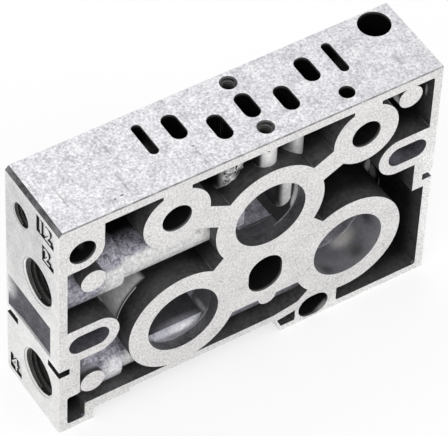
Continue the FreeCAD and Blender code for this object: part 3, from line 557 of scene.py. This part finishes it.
    # its hard black and white mottle stands for the flap's small holes, with painted shadow in them
    "brokenSkin": {
        "light": (0.97, 0.965, 0.96), "dark": (0.05, 0.048, 0.046), "rim": (0.97, 0.97, 0.97),
        "rimWidth": 0.00012, "metallic": 0.3, "cloud": 700, "speck": 1900, "contrast": 5.5,
        "grain": 0.4, "scratch": 0.0, "pits": 0.6,
        "patches": (
            ((54.6, 5.0, 64.0), (2.2, 4.0, 3.4), (0.04, 0.039, 0.041), 0, 0.6),
        ),
    },
}


def makeFinish(name):
    look = {**plainFinish, **finishes[name]}
    material = bpy.data.materials.new(name)
    material.use_nodes = True
    tree = material.node_tree
    tree.nodes.clear()
    link = tree.links.new
    output = addNode(tree, "ShaderNodeOutputMaterial")
    surface = addNode(tree, "ShaderNodeBsdfPrincipled")
    surface.inputs["Metallic"].default_value = look["metallic"]
    surface.inputs["Specular IOR Level"].default_value = look["specular"]
    link(surface.outputs[0], output.inputs["Surface"])
    place = addNode(tree, "ShaderNodeTexCoord")
    patches = addNode(tree, "ShaderNodeGroup", node_tree=mottleGroup)
    patches.inputs["Cloud Scale"].default_value = look["cloud"]
    patches.inputs["Speck Scale"].default_value = look["speck"]
    patches.inputs["Speck Share"].default_value = look["share"]
    patches.inputs["Contrast"].default_value = look["contrast"]
    marks = addNode(tree, "ShaderNodeGroup", node_tree=scratchGroup)
    marks.inputs["Stretch"].default_value = look["stretch"]
    marks.inputs["Amount"].default_value = look["scratch"]
    link(place.outputs["Object"], patches.inputs["Vector"])
    link(place.outputs["Object"], marks.inputs["Vector"])
    base = addNode(tree, "ShaderNodeMix", data_type="RGBA")
    base.inputs[6].default_value = (*look["dark"], 1)
    base.inputs[7].default_value = (*look["light"], 1)
    link(patches.outputs["Value"], base.inputs[0])
    marked = addNode(tree, "ShaderNodeMix", data_type="RGBA")
    marked.inputs[7].default_value = (*[v * shares["scratchDark"] for v in look["dark"]], 1)
    link(base.outputs[2], marked.inputs[6])
    link(marks.outputs["Mask"], marked.inputs[0])
    colour = marked.outputs[2]
    if look["pits"]:
        holes = addNode(tree, "ShaderNodeGroup", node_tree=pitGroup)
        holes.inputs["Amount"].default_value = look["pits"]
        link(place.outputs["Object"], holes.inputs["Vector"])
        pitted = addNode(tree, "ShaderNodeMix", data_type="RGBA")
        pitted.inputs[7].default_value = (*[v * shares["pitDark"] for v in look["dark"]], 1)
        link(holes.outputs["Mask"], pitted.inputs[0])
        link(colour, pitted.inputs[6])
        colour = pitted.outputs[2]
    rimColour = None
    # painted shade: the colour, and the rim more strongly, darken from one depth to another
    if look["fade"]:
        axis, start, end, level = look["fade"]
        corner = (cadLow.x, cadLow.y, cadLow.z)[axis]
        split = addNode(tree, "ShaderNodeSeparateXYZ")
        link(place.outputs["Object"], split.inputs[0])
        depth = addNode(tree, "ShaderNodeMapRange", interpolation_type="SMOOTHSTEP")
        depth.inputs["From Min"].default_value = corner + min(start, end) * mm
        depth.inputs["From Max"].default_value = corner + max(start, end) * mm
        depth.inputs["To Min"].default_value = 1.0 if start < end else level
        depth.inputs["To Max"].default_value = level if start < end else 1.0
        link(split.outputs[axis], depth.inputs["Value"])
        shaded = addNode(tree, "ShaderNodeVectorMath", operation="SCALE")
        link(colour, shaded.inputs[0])
        link(depth.outputs["Result"], shaded.inputs["Scale"])
        colour = shaded.outputs[0]
        dimmed = addNode(tree, "ShaderNodeVectorMath", operation="SCALE")
        dimmed.inputs[0].default_value = look["rim"]
        twice = addNode(tree, "ShaderNodeMath", operation="MULTIPLY")
        link(depth.outputs["Result"], twice.inputs[0])
        link(depth.outputs["Result"], twice.inputs[1])
        link(twice.outputs[0], dimmed.inputs["Scale"])
        rimColour = dimmed.outputs[0]
    # painted highlights and shadows, and a few real marks, laid over the colour
    for centre, reach, light, square, soft in look["patches"]:
        area = addNode(tree, "ShaderNodeGroup", node_tree=patchGroup)
        area.inputs["Centre"].default_value = fromCorner(*centre)
        area.inputs["Reach"].default_value = [v * mm for v in reach]
        area.inputs["Light"].default_value = (*light, 1)
        area.inputs["Square"].default_value = square
        area.inputs["Soft"].default_value = soft
        link(place.outputs["Object"], area.inputs["Vector"])
        link(patches.outputs["Value"], area.inputs["Mottle"])
        link(colour, area.inputs["Below"])
        colour = area.outputs["Color"]
    # the rim: a painted highlight or painted dark line along the edges
    edges = addNode(tree, "ShaderNodeGroup", node_tree=edgeGroup)
    edges.inputs["Width"].default_value = look["rimWidth"]
    rimmed = addNode(tree, "ShaderNodeMix", data_type="RGBA")
    rimmed.inputs[7].default_value = (*look["rim"], 1)
    if rimColour:
        link(rimColour, rimmed.inputs[7])
    link(colour, rimmed.inputs[6])
    link(edges.outputs["Mask"], rimmed.inputs[0])
    link(rimmed.outputs[2], surface.inputs["Base Color"])
    gloss = addNode(tree, "ShaderNodeMapRange")
    gloss.inputs["To Min"].default_value = look["roughness"][1]
    gloss.inputs["To Max"].default_value = look["roughness"][0]
    link(patches.outputs["Value"], gloss.inputs["Value"])
    link(gloss.outputs["Result"], surface.inputs["Roughness"])
    relief = addNode(tree, "ShaderNodeBump")
    relief.inputs["Strength"].default_value = look["grain"]
    relief.inputs["Distance"].default_value = shares["reliefDepth"]
    link(patches.outputs["Value"], relief.inputs["Height"])
    link(relief.outputs["Normal"], surface.inputs["Normal"])
    return material


made = {name: makeFinish(name) for name in finishes}
print("finishes ready:", ", ".join(made))


# the casting: a merged copy of the solid, with each face given the finish of how it was made, and of the
# light and shade painted on it

casting = {
    "merge": 0.000002,
    "smoothAngle": 32,
    "onFace": 0.05,  # how near a plane counts as on it
    "squarely": 0.9,  # how much of a normal counts as facing that way
    "endChamfer": 1.15,
    "frontChamfer": 0.5,
    "chamferTurn": 0.3,
    "galleries": ((61.55, 49.0, 3.5), (36.55, 23.15, 3.0), (86.55, 23.15, 10.0)),  # across, up, seat depth
    "seatRadius": 10.7,
    "castRadius": 10.0,
    "seatSlack": 0.02,
    "backSeat": 21.5,
    "leftGalleryEnd": 40,
    "rightGalleryStart": 80,
    "tubeTurn": (-0.98, -0.25),  # normals of a round tube's front, seen in a gallery
    "endBores": ((10.55, 48.4, 7.4), (10.55, 13.4, 7.4), (18.5, 65.65, 3.8)),  # inward, up, radius
    "boreEnd": 25,
    "mouthEnd": 1.6,
    "leftNotches": ((0, 5.6, 0, 6), (0, 3, 20, 26.1)),  # across and inward, from and to
    "leftNotchUp": (21.8, 24.4),
    "rightNotchLength": 3.2,
    "rightNotchUp": (35.4, 37.9),
    "sunkDepth": 0.7,
    "recessUp": (25, 38),
    "slotsAbove": 40,
    "floorDepth": 22.9,
    "bossTurn": 0.2,
    "draftTurn": (-0.013, -0.008),
    "straightTurn": 0.002,
    "draftRate": 0.0105,
    "bossSlack": 0.22,
    "tieSlots": ((31.9, 0, 16), (49.2, 95, 112)),  # up, across from and to
    "tieSlotHalf": 3.3,
    "lowerBoss": (23.6, 24),  # across and up
    "upperTube": (10.55, 48.4, 9, 60),  # inward, up, radius, top
    "frontTubesAbove": 50,
    "frontTubeTurn": -0.2,
}
valveSlots = (  # across, inward, half width, half length
    (42.45, 16.5, 2.2, 4.4), (52.2, 10.85, 2.2, 4.4), (61.95, 13.6, 2.2, 4.4), (71.7, 10.85, 2.2, 4.4),
    (81.45, 16.5, 2.2, 4.4), (34.05, 16.5, 1.3, 5.5), (89.85, 16.5, 1.3, 5.5),
)
slotSlack = 0.1
valveHoles = ((61.95, 5.1, 2.45), (61.95, 22.5, 2.45), (85.8, 4.9, 2.3), (104.85, 21.25, 4.6))
frontBosses = (  # across, up, radius
    (61.55, 49.0, 16.15), (36.55, 23.15, 16.15), (86.55, 23.15, 16.15), (33.6, 63.55, 9.7),
    (89.4, 63.55, 9.7), (9.8, 54.0, 3.5), (9.8, 15.1, 3.5), (102.3, 70.3, 3.5), (62.1, 17.0, 2.65),
    (6.7, 66.5, 6.2), (11.4, 31.9, 6.1), (100.4, 49.2, 6.1),
)
frontHoles = (  # across, up, half width, half height
    (6.7, 66.5, 3.9, 3.9), (8.75, 31.9, 5.9, 3.3), (103.05, 49.2, 5.9, 3.3), (61.1, 26.6, 5.2, 6.5),
    (77.05, 4.65, 4.7, 4.0), (33.6, 63.55, 4.4, 4.4), (89.4, 63.55, 4.4, 4.4),
)


def castingCopy():
    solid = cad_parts["manifold_base"]
    copy = solid.copy()
    copy.data = solid.data.copy()
    copy.name = "casting"
    for key in list(copy.keys()):
        del copy[key]
    copy.parent = None
    scene.collection.objects.link(copy)
    only(copy)
    bpy.ops.object.mode_set(mode="EDIT")
    bpy.ops.mesh.select_all(action="SELECT")
    bpy.ops.mesh.remove_doubles(threshold=casting["merge"])
    bpy.ops.mesh.delete_loose()
    bpy.ops.object.mode_set(mode="OBJECT")
    if copy.data.has_custom_normals:
        bpy.ops.mesh.customdata_custom_splitnormals_clear()
    bpy.ops.object.shade_smooth_by_angle(angle=math.radians(casting["smoothAngle"]))
    return copy


order = list(finishes)


def between(value, span):
    return span[0] < value < span[1]


def finishOf(face):
    # the machined faces are found by their plane, the bores by their axis, and the rest is as cast
    across, inward, up = (face.center - cadLow) / mm
    out = face.normal
    long, deep, high = (cadHigh - cadLow) / mm
    near, squarely, turned = casting["onFace"], casting["squarely"], casting["chamferTurn"]
    if up > high - near and out.z > squarely:
        return "topFace"
    bevel = casting["endChamfer"]
    if across < bevel and up > high - bevel and out.x < -turned and out.z > turned:
        return "darkEdge"
    bevel = casting["frontChamfer"]
    if inward < bevel and up > high - bevel and out.y < -turned and out.z > turned:
        return "frontEdge"
    if across < near and out.x < -squarely:
        return "endFace"
    if across > long - near or inward > deep - near or up < near:
        return "endFace"
    if inward < near and out.y < -squarely:
        return "frontLand"
    for x, z, seat in casting["galleries"]:
        if math.hypot(across - x, up - z) < casting["seatRadius"]:
            return galleryFinish(across, inward, up, out, x, z, seat)
    for inCentre, upCentre, radius in casting["endBores"]:
        if across < casting["boreEnd"] and math.hypot(inward - inCentre, up - upCentre) < radius:
            return "threadMouth" if across < casting["mouthEnd"] and out.x < -turned else "threadWall"
    # the notches' walls are painted black as shadow
    for left, right, front, back in casting["leftNotches"]:
        if left <= across < right and front <= inward < back and between(up, casting["leftNotchUp"]):
            return "paintedShadow"
    if across > long - casting["rightNotchLength"] and between(up, casting["rightNotchUp"]):
        return "rawRecess"
    if across < casting["sunkDepth"]:
        if between(up, casting["recessUp"]):
            return "rawRecess" if out.x < -0.5 else "endFace"
        # the fields' side walls are painted black as shadow
        return "numberField" if out.x < -squarely else "paintedShadow"
    if up > casting["slotsAbove"] and inside(across, inward):
        return "slotWall"
    if inward > casting["floorDepth"] and out.y < -0.5:
        return "pocketFloor"
    if abs(out.y) < casting["bossTurn"] and boss(across, inward, up):
        return "pocketWall"
    if between(out.y, casting["draftTurn"]):
        return "pocketWall"
    if abs(out.y) < casting["straightTurn"] and hole(across, up):
        for slotUp, left, right in casting["tieSlots"]:
            if abs(up - slotUp) < casting["tieSlotHalf"] and left < across < right:
                return "tieSlot"
        return "deepHole"
    bossEnd, bossTop = casting["lowerBoss"]
    tubeIn, tubeUp, tubeRadius, tubeTop = casting["upperTube"]
    if across < bossEnd and up < bossTop:
        return "portBoss"
    if up < tubeTop and math.hypot(inward - tubeIn, up - tubeUp) < tubeRadius:
        return "portBoss"
    # faces turned to the front get the lighter tubeFront, as painted light
    if up > casting["frontTubesAbove"] and out.y < casting["frontTubeTurn"]:
        return "tubeFront"
    return "tubeSkin"


def galleryFinish(across, inward, up, out, x, z, seat):
    # a gallery's machined seats, its step, the sill in the left one, and the cast skin between them
    slack, (behind, beside) = casting["seatSlack"], casting["tubeTurn"]
    if inward < seat - slack or inward > casting["backSeat"]:
        return "smoothSeat" if x > casting["rightGalleryStart"] and inward < seat else "seatWall"
    outside = math.hypot(across - x, up - z) > casting["castRadius"]
    if abs(inward - seat) < slack and out.y < -casting["squarely"] and outside:
        return "seatStep"
    if x < casting["leftGalleryEnd"] and out.z > casting["squarely"]:
        return "sillTop"
    if x < casting["leftGalleryEnd"] and out.y < beside:
        return "sillFront"
    # a round tube front seen in a gallery gets tubeFront, as a painted highlight
    return "tubeFront" if between(out.y, (behind, beside)) else "castBore"


def inside(across, inward):
    # within the outline of one of the valve face's slots, screw holes or the cable hole
    for x, y, half, length in valveSlots:
        if math.hypot(across - x, max(0.0, abs(inward - y) - length + half)) < half + slotSlack:
            return True
    return any(math.hypot(across - x, inward - y) < radius for x, y, radius in valveHoles)


def boss(across, inward, up):
    # on the drafted outside of a ring, a boss or a pin that stands in the front cavity
    flare = casting["draftRate"] * inward
    return any(abs(math.hypot(across - x, up - z) - radius - flare) < casting["bossSlack"]
               for x, z, radius in frontBosses)


def hole(across, up):
    # within the outline of one of the holes that run in from the front
    return any(abs(across - x) < halfWidth and abs(up - z) < halfHeight
               for x, z, halfWidth, halfHeight in frontHoles)


def dressCasting():
    piece = castingCopy()
    piece.data.materials.clear()
    for name in order:
        piece.data.materials.append(made[name])
    for face in piece.data.polygons:
        face.material_index = order.index(finishOf(face))
    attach(piece, "root")
    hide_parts("manifold_base")
    return piece


castingPiece = dressCasting()
print("casting dressed:", len(castingPiece.data.polygons), "faces")


def finishPiece(piece, *names):
    piece.data.materials.clear()
    for name in names:
        piece.data.materials.append(made[name])
    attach(piece, "root")


# threads: one ridge turned up each tapped bore

portTap = {"into": "x", "radius": 6.58, "pitch": 1.337, "height": 0.86, "turns": 9}
screwTap = {"into": "-z", "radius": 2.0, "pitch": 0.7, "height": 0.42, "turns": 11}
pilotTap = {"into": "x", "radius": 3.5, "pitch": 1.0, "height": 0.6, "turns": 7}
threads = {
    "portTwoThread": {"mouth": (1.0, 10.55, 48.4), **portTap},
    "portFourThread": {"mouth": (1.0, 10.55, 13.4), **portTap},
    "pilotPortThread": {"mouth": (0.6, 18.5, 65.65), **pilotTap},
    "frontScrewThread": {"mouth": (61.95, 5.1, 75.7), **screwTap},
    "backScrewThread": {"mouth": (61.95, 22.5, 75.7), **screwTap},
}
threadShape = {
    "buried": 0.03, "rootShare": 0.86, "crestShare": 0.22, "steps": 40, "runIn": 1.1, "smoothAngle": 30,
    "merge": 0.000001, "wallSlack": 0.00002,
}


def addThread(name, look):
    bpy.ops.object.select_all(action="DESELECT")
    bpy.ops.mesh.primitive_plane_add(size=1, location=(0, 0, 0))
    ridge = bpy.context.active_object
    ridge.name = name
    outer = (look["radius"] + threadShape["buried"]) * mm
    inner = (look["radius"] - look["height"]) * mm
    root = look["pitch"] * threadShape["rootShare"] * mm / 2
    crest = look["pitch"] * threadShape["crestShare"] * mm / 2
    for corner in ridge.data.vertices:  # the plane becomes the ridge's section, beside the axis
        far = corner.co.x > 0
        high = corner.co.y > 0
        width = root if far else crest
        corner.co = (outer if far else inner, 0, width if high else -width)
    bpy.ops.object.mode_set(mode="EDIT")
    bpy.ops.mesh.select_all(action="SELECT")
    bpy.ops.mesh.delete(type="ONLY_FACE")
    bpy.ops.object.mode_set(mode="OBJECT")
    turned = ridge.modifiers.new("turned", "SCREW")
    turned.axis = "Z"
    turned.angle = math.tau
    turned.screw_offset = look["pitch"] * mm
    turned.iterations = look["turns"]
    turned.steps = turned.render_steps = threadShape["steps"]
    bpy.ops.object.modifier_apply(modifier="turned")
    bpy.ops.object.mode_set(mode="EDIT")
    bpy.ops.mesh.select_all(action="SELECT")
    bpy.ops.mesh.remove_doubles(threshold=threadShape["merge"])
    bpy.ops.mesh.fill_holes(sides=4)
    bpy.ops.mesh.select_all(action="SELECT")
    bpy.ops.mesh.normals_make_consistent(inside=False)
    bpy.ops.object.mode_set(mode="OBJECT")
    length = look["turns"] * look["pitch"] * mm
    for point in ridge.data.vertices:  # the ridge sinks into the wall at both ends
        nearEnd = min(point.co.z + root, length + root - point.co.z) / (look["pitch"] * mm)
        sunk = max(0.0, 1.0 - nearEnd / threadShape["runIn"])
        reach = math.hypot(point.co.x, point.co.y)
        if reach < outer - threadShape["wallSlack"]:
            point.co.x *= 1 + (outer / reach - 1) * sunk
            point.co.y *= 1 + (outer / reach - 1) * sunk
    endwise = look["into"] == "x"
    ridge.rotation_euler = (0, math.radians(90), 0) if endwise else (math.radians(180), 0, 0)
    ridge.location = fromCorner(*look["mouth"])
    bakePlace(ridge)
    bpy.ops.object.shade_smooth_by_angle(angle=math.radians(threadShape["smoothAngle"]))
    finishPiece(ridge, "thread" if endwise else "screwThread")


for threadName, threadLook in threads.items():
    addThread(threadName, threadLook)
print("threads cut:", len(threads))


# casting flash: a torn flap of skin left on the front of the second slot's tube

flash = {
    "corners": ((49.2, 71.2), (58.2, 71.2), (50.3, 61.4), (52.0, 60.6)),  # across and up, top then foot
    "tube": (52.2, 8.65, 3.75),  # across, inward, radius
    "steps": 16,
    "ragged": 0.9,
    "raggedLeft": 0.15,  # the left side holds on to the tube, so it is less ragged
    "raggedUp": 0.3,
    "raggedScale": (5, 7, 0.3),
    "lift": 0.45,
    "liftScale": (9, 9, 4.1),
    "rimGap": 0.05,
    "clearance": 0.06,
    "thickness": 0.16,
    "torn": 0.30,
    "tornFrom": 50.6,
    "tearScale": (1.3, 1.3, 7.7),
}


def ripple(u, v, scale):
    return noise.noise(Vector((u * scale[0], v * scale[1], scale[2])))


def addFlash():
    bpy.ops.object.select_all(action="DESELECT")
    steps = flash["steps"]
    bpy.ops.mesh.primitive_grid_add(x_subdivisions=steps, y_subdivisions=steps, size=1)
    skin = bpy.context.active_object
    skin.name = "castingFlash"
    topLeft, topRight, footLeft, footRight = (Vector(c) for c in flash["corners"])
    tubeAcross, tubeIn, radius = flash["tube"]
    for point in skin.data.vertices:
        u, v = point.co.x + 0.5, point.co.y + 0.5
        at = footLeft.lerp(footRight, u).lerp(topLeft.lerp(topRight, u), v)
        tear = ripple(u, v, flash["raggedScale"]) * flash["ragged"] * (flash["raggedLeft"] + u)
        across = at.x + tear
        # flat beyond the tube's front, where it has torn free
        away = min(max(0.0, tubeAcross - across), radius - flash["rimGap"])
        skinDepth = tubeIn - math.sqrt(radius * radius - away * away)
        lift = flash["lift"] * (0.5 + ripple(u, v, flash["liftScale"])) * u
        point.co = fromCorner(across, skinDepth - flash["clearance"] - lift, at.y + tear * flash["raggedUp"])
    bpy.ops.object.mode_set(mode="EDIT")
    cage = bmesh.from_edit_mesh(skin.data)
    bpy.ops.mesh.select_all(action="DESELECT")
    bpy.ops.mesh.select_mode(type="FACE")
    for face in cage.faces:
        spot = (face.calc_center_median() - cadLow) / mm
        if spot.x > flash["tornFrom"] and ripple(spot.x, spot.z, flash["tearScale"]) > flash["torn"]:
            face.select_set(True)
    bmesh.update_edit_mesh(skin.data)
    bpy.ops.mesh.delete(type="FACE")
    bpy.ops.mesh.select_all(action="SELECT")
    bpy.ops.mesh.delete_loose()
    bpy.ops.object.mode_set(mode="OBJECT")
    shell = skin.modifiers.new("shell", "SOLIDIFY")
    shell.thickness = flash["thickness"] * mm
    shell.offset = 0
    only(skin)
    bpy.ops.object.modifier_apply(modifier="shell")
    bpy.ops.object.mode_set(mode="EDIT")
    bpy.ops.mesh.select_all(action="SELECT")
    bpy.ops.mesh.normals_make_consistent(inside=False)
    bpy.ops.object.mode_set(mode="OBJECT")
    finishPiece(skin, "brokenSkin")


addFlash()


# parting ridge: the thin line that the die left round the left ring's flank

partingRidge = {
    "centre": (36.55, 6.35, 23.15), "radius": 16.22, "thickness": 0.13, "arc": (128, 176),
    "steps": 180, "sides": 8, "smoothAngle": 40,
}


def addPartingRidge():
    bpy.ops.object.select_all(action="DESELECT")
    bpy.ops.mesh.primitive_torus_add(
        major_radius=partingRidge["radius"] * mm, minor_radius=partingRidge["thickness"] * mm,
        major_segments=partingRidge["steps"], minor_segments=partingRidge["sides"])
    ridge = bpy.context.active_object
    ridge.name = "partingRidge"
    ridge.rotation_euler = (math.radians(90), 0, 0)
    ridge.location = fromCorner(*partingRidge["centre"])
    bakePlace(ridge)
    middle = fromCorner(*partingRidge["centre"])
    bpy.ops.object.mode_set(mode="EDIT")
    cage = bmesh.from_edit_mesh(ridge.data)
    bpy.ops.mesh.select_all(action="DESELECT")
    bpy.ops.mesh.select_mode(type="VERT")
    for point in cage.verts:
        turn = math.degrees(math.atan2(point.co.z - middle.z, point.co.x - middle.x))
        if not between(turn, partingRidge["arc"]):
            point.select_set(True)
    bmesh.update_edit_mesh(ridge.data)
    bpy.ops.mesh.delete(type="VERT")
    bpy.ops.mesh.select_all(action="SELECT")
    bpy.ops.mesh.fill_holes(sides=partingRidge["sides"])
    bpy.ops.mesh.select_all(action="SELECT")
    bpy.ops.mesh.normals_make_consistent(inside=False)
    bpy.ops.object.mode_set(mode="OBJECT")
    bpy.ops.object.shade_smooth_by_angle(angle=math.radians(partingRidge["smoothAngle"]))
    finishPiece(ridge, "tubeFront")


addPartingRidge()
print("casting marks added")


# burrs: the thin dark line that the countersink left round each bore in the left end

mouthBurrs = {
    "portTwoBurr": (10.55, 48.4, 7.1),  # inward, up, radius
    "portFourBurr": (10.55, 13.4, 7.1),
    "pilotPortBurr": (18.5, 65.65, 3.75),
}
burrShape = {"thickness": 0.10, "sunk": 0.01, "steps": 72, "sides": 8, "smoothAngle": 50}


def addBurr(name, inward, up, radius):
    bpy.ops.object.select_all(action="DESELECT")
    bpy.ops.mesh.primitive_torus_add(
        major_radius=radius * mm, minor_radius=burrShape["thickness"] * mm,
        major_segments=burrShape["steps"], minor_segments=burrShape["sides"])
    burr = bpy.context.active_object
    burr.name = name
    burr.rotation_euler = (0, math.radians(90), 0)
    burr.location = fromCorner(burrShape["thickness"] + burrShape["sunk"], inward, up)
    bakePlace(burr)
    bpy.ops.object.shade_smooth_by_angle(angle=math.radians(burrShape["smoothAngle"]))
    finishPiece(burr, "darkEdge")


for burrName, (burrInward, burrUp, burrRadius) in mouthBurrs.items():
    addBurr(burrName, burrInward, burrUp, burrRadius)
print("burrs added:", len(mouthBurrs))


# plain port numbers, raised in their sunk fields on the left end, each with a black copy shifted back and
# down behind it as a painted shadow

portNumbers = {
    "size": 6.6,
    "raised": 0.48,
    "fieldDepth": 0.55,
    "frontTurn": 0.7,
    "curveSteps": 6,
    "bold": 0.02,
    "shadowRaised": 0.08,
    "shadowBold": 0.22,
    "shadowShift": (0.16, -0.14),  # the painted shadow lies towards the back and the foot
    "places": (("12", 10.45, 68.65), ("2", 7.8, 60.25), ("4", 24.2, 2.3)),  # left side inward, foot up
}


def addPortNumber(label, inward, up, shadow=False):
    bpy.ops.object.select_all(action="DESELECT")
    bpy.ops.object.text_add(location=(0, 0, 0))
    number = bpy.context.active_object
    number.data.body = label
    number.data.size = portNumbers["size"] * mm
    raised = portNumbers["shadowRaised" if shadow else "raised"]
    number.data.extrude = raised * mm / 2
    number.data.offset = portNumbers["shadowBold" if shadow else "bold"] * mm
    number.data.resolution_u = portNumbers["curveSteps"]
    only(number)
    bpy.ops.object.convert(target="MESH")
    number = bpy.context.active_object
    number.name = ("numberShadow" if shadow else "portNumber") + label
    turn = Matrix(((0, 0, -1), (-1, 0, 0), (0, 1, 0))).to_4x4()
    middle = fromCorner(portNumbers["fieldDepth"] - raised / 2, inward, up)
    number.matrix_world = Matrix.Translation(middle) @ turn
    bakePlace(number)
    bpy.ops.object.mode_set(mode="EDIT")
    bpy.ops.mesh.select_all(action="SELECT")
    bpy.ops.mesh.remove_doubles(threshold=0.000001)
    bpy.ops.mesh.normals_make_consistent(inside=False)
    bpy.ops.object.mode_set(mode="OBJECT")
    # the shifted copy is all painted shadow
    if shadow:
        finishPiece(number, "paintedShadow")
        return
    # the digits' faces keep the end face's finish, and their sides are painted black as shadow
    finishPiece(number, "endFace", "paintedShadow")
    for face in number.data.polygons:
        face.material_index = 0 if face.normal.x < -portNumbers["frontTurn"] else 1


shadowBack, shadowDown = portNumbers["shadowShift"]
for label, inward, up in portNumbers["places"]:
    addPortNumber(label, inward, up)
    addPortNumber(label, inward + shadowBack, up + shadowDown, shadow=True)
print("port numbers raised")


# floor, backdrop and light

studio = {
    "floorColor": (0.93, 0.93, 0.93),
    "floorSize": 6,
    "floorGlow": 0.72,  # how much of its white the floor shows to the camera alone
    "worldLevel": 0.66,
    "aim": (0, 0, 0.03),
    "lamps": (
        ("keyLamp", (-0.9, -0.6, 1.3), 10.0, 1.1),
        ("fillLamp", (1.0, -1.3, 0.8), 9.0, 1.2),
        ("topLamp", (0.1, 0.9, 1.6), 5.0, 1.0),
    ),
}


def aimAt(obj, target):
    obj.rotation_euler = (target - obj.location).to_track_quat("-Z", "Y").to_euler()


def addStudio():
    bpy.ops.object.select_all(action="DESELECT")
    bpy.ops.mesh.primitive_plane_add(size=studio["floorSize"], location=(0, 0, cadLow.z))
    floor = bpy.context.active_object
    floor.name = "floor"
    paint = bpy.data.materials.new("floorPaint")
    paint.use_nodes = True
    tree = paint.node_tree
    tree.nodes.clear()
    link = tree.links.new
    output = addNode(tree, "ShaderNodeOutputMaterial")
    matte = addNode(tree, "ShaderNodeBsdfDiffuse")
    matte.inputs["Color"].default_value = (*studio["floorColor"], 1)
    white = addNode(tree, "ShaderNodeEmission")
    rays = addNode(tree, "ShaderNodeLightPath")
    seen = addNode(tree, "ShaderNodeMath", operation="MULTIPLY")
    link(rays.outputs["Is Camera Ray"], seen.inputs[0])
    seen.inputs[1].default_value = studio["floorGlow"]
    both = addNode(tree, "ShaderNodeMixShader")
    link(seen.outputs[0], both.inputs[0])
    link(matte.outputs[0], both.inputs[1])
    link(white.outputs[0], both.inputs[2])
    link(both.outputs[0], output.inputs["Surface"])
    floor.data.materials.append(paint)
    world = bpy.data.worlds.new("studioWorld")
    world.use_nodes = True
    sky = world.node_tree.nodes["Background"]
    sky.inputs["Color"].default_value = (1, 1, 1, 1)
    sky.inputs["Strength"].default_value = studio["worldLevel"]
    scene.world = world
    for name, place, power, size in studio["lamps"]:
        data = bpy.data.lights.new(name, "AREA")
        data.energy = power
        data.size = size
        lamp = bpy.data.objects.new(name, data)
        lamp.location = place
        scene.collection.objects.link(lamp)
        aimAt(lamp, Vector(studio["aim"]))
    scene.view_settings.view_transform = "Standard"


addStudio()
print("studio ready")
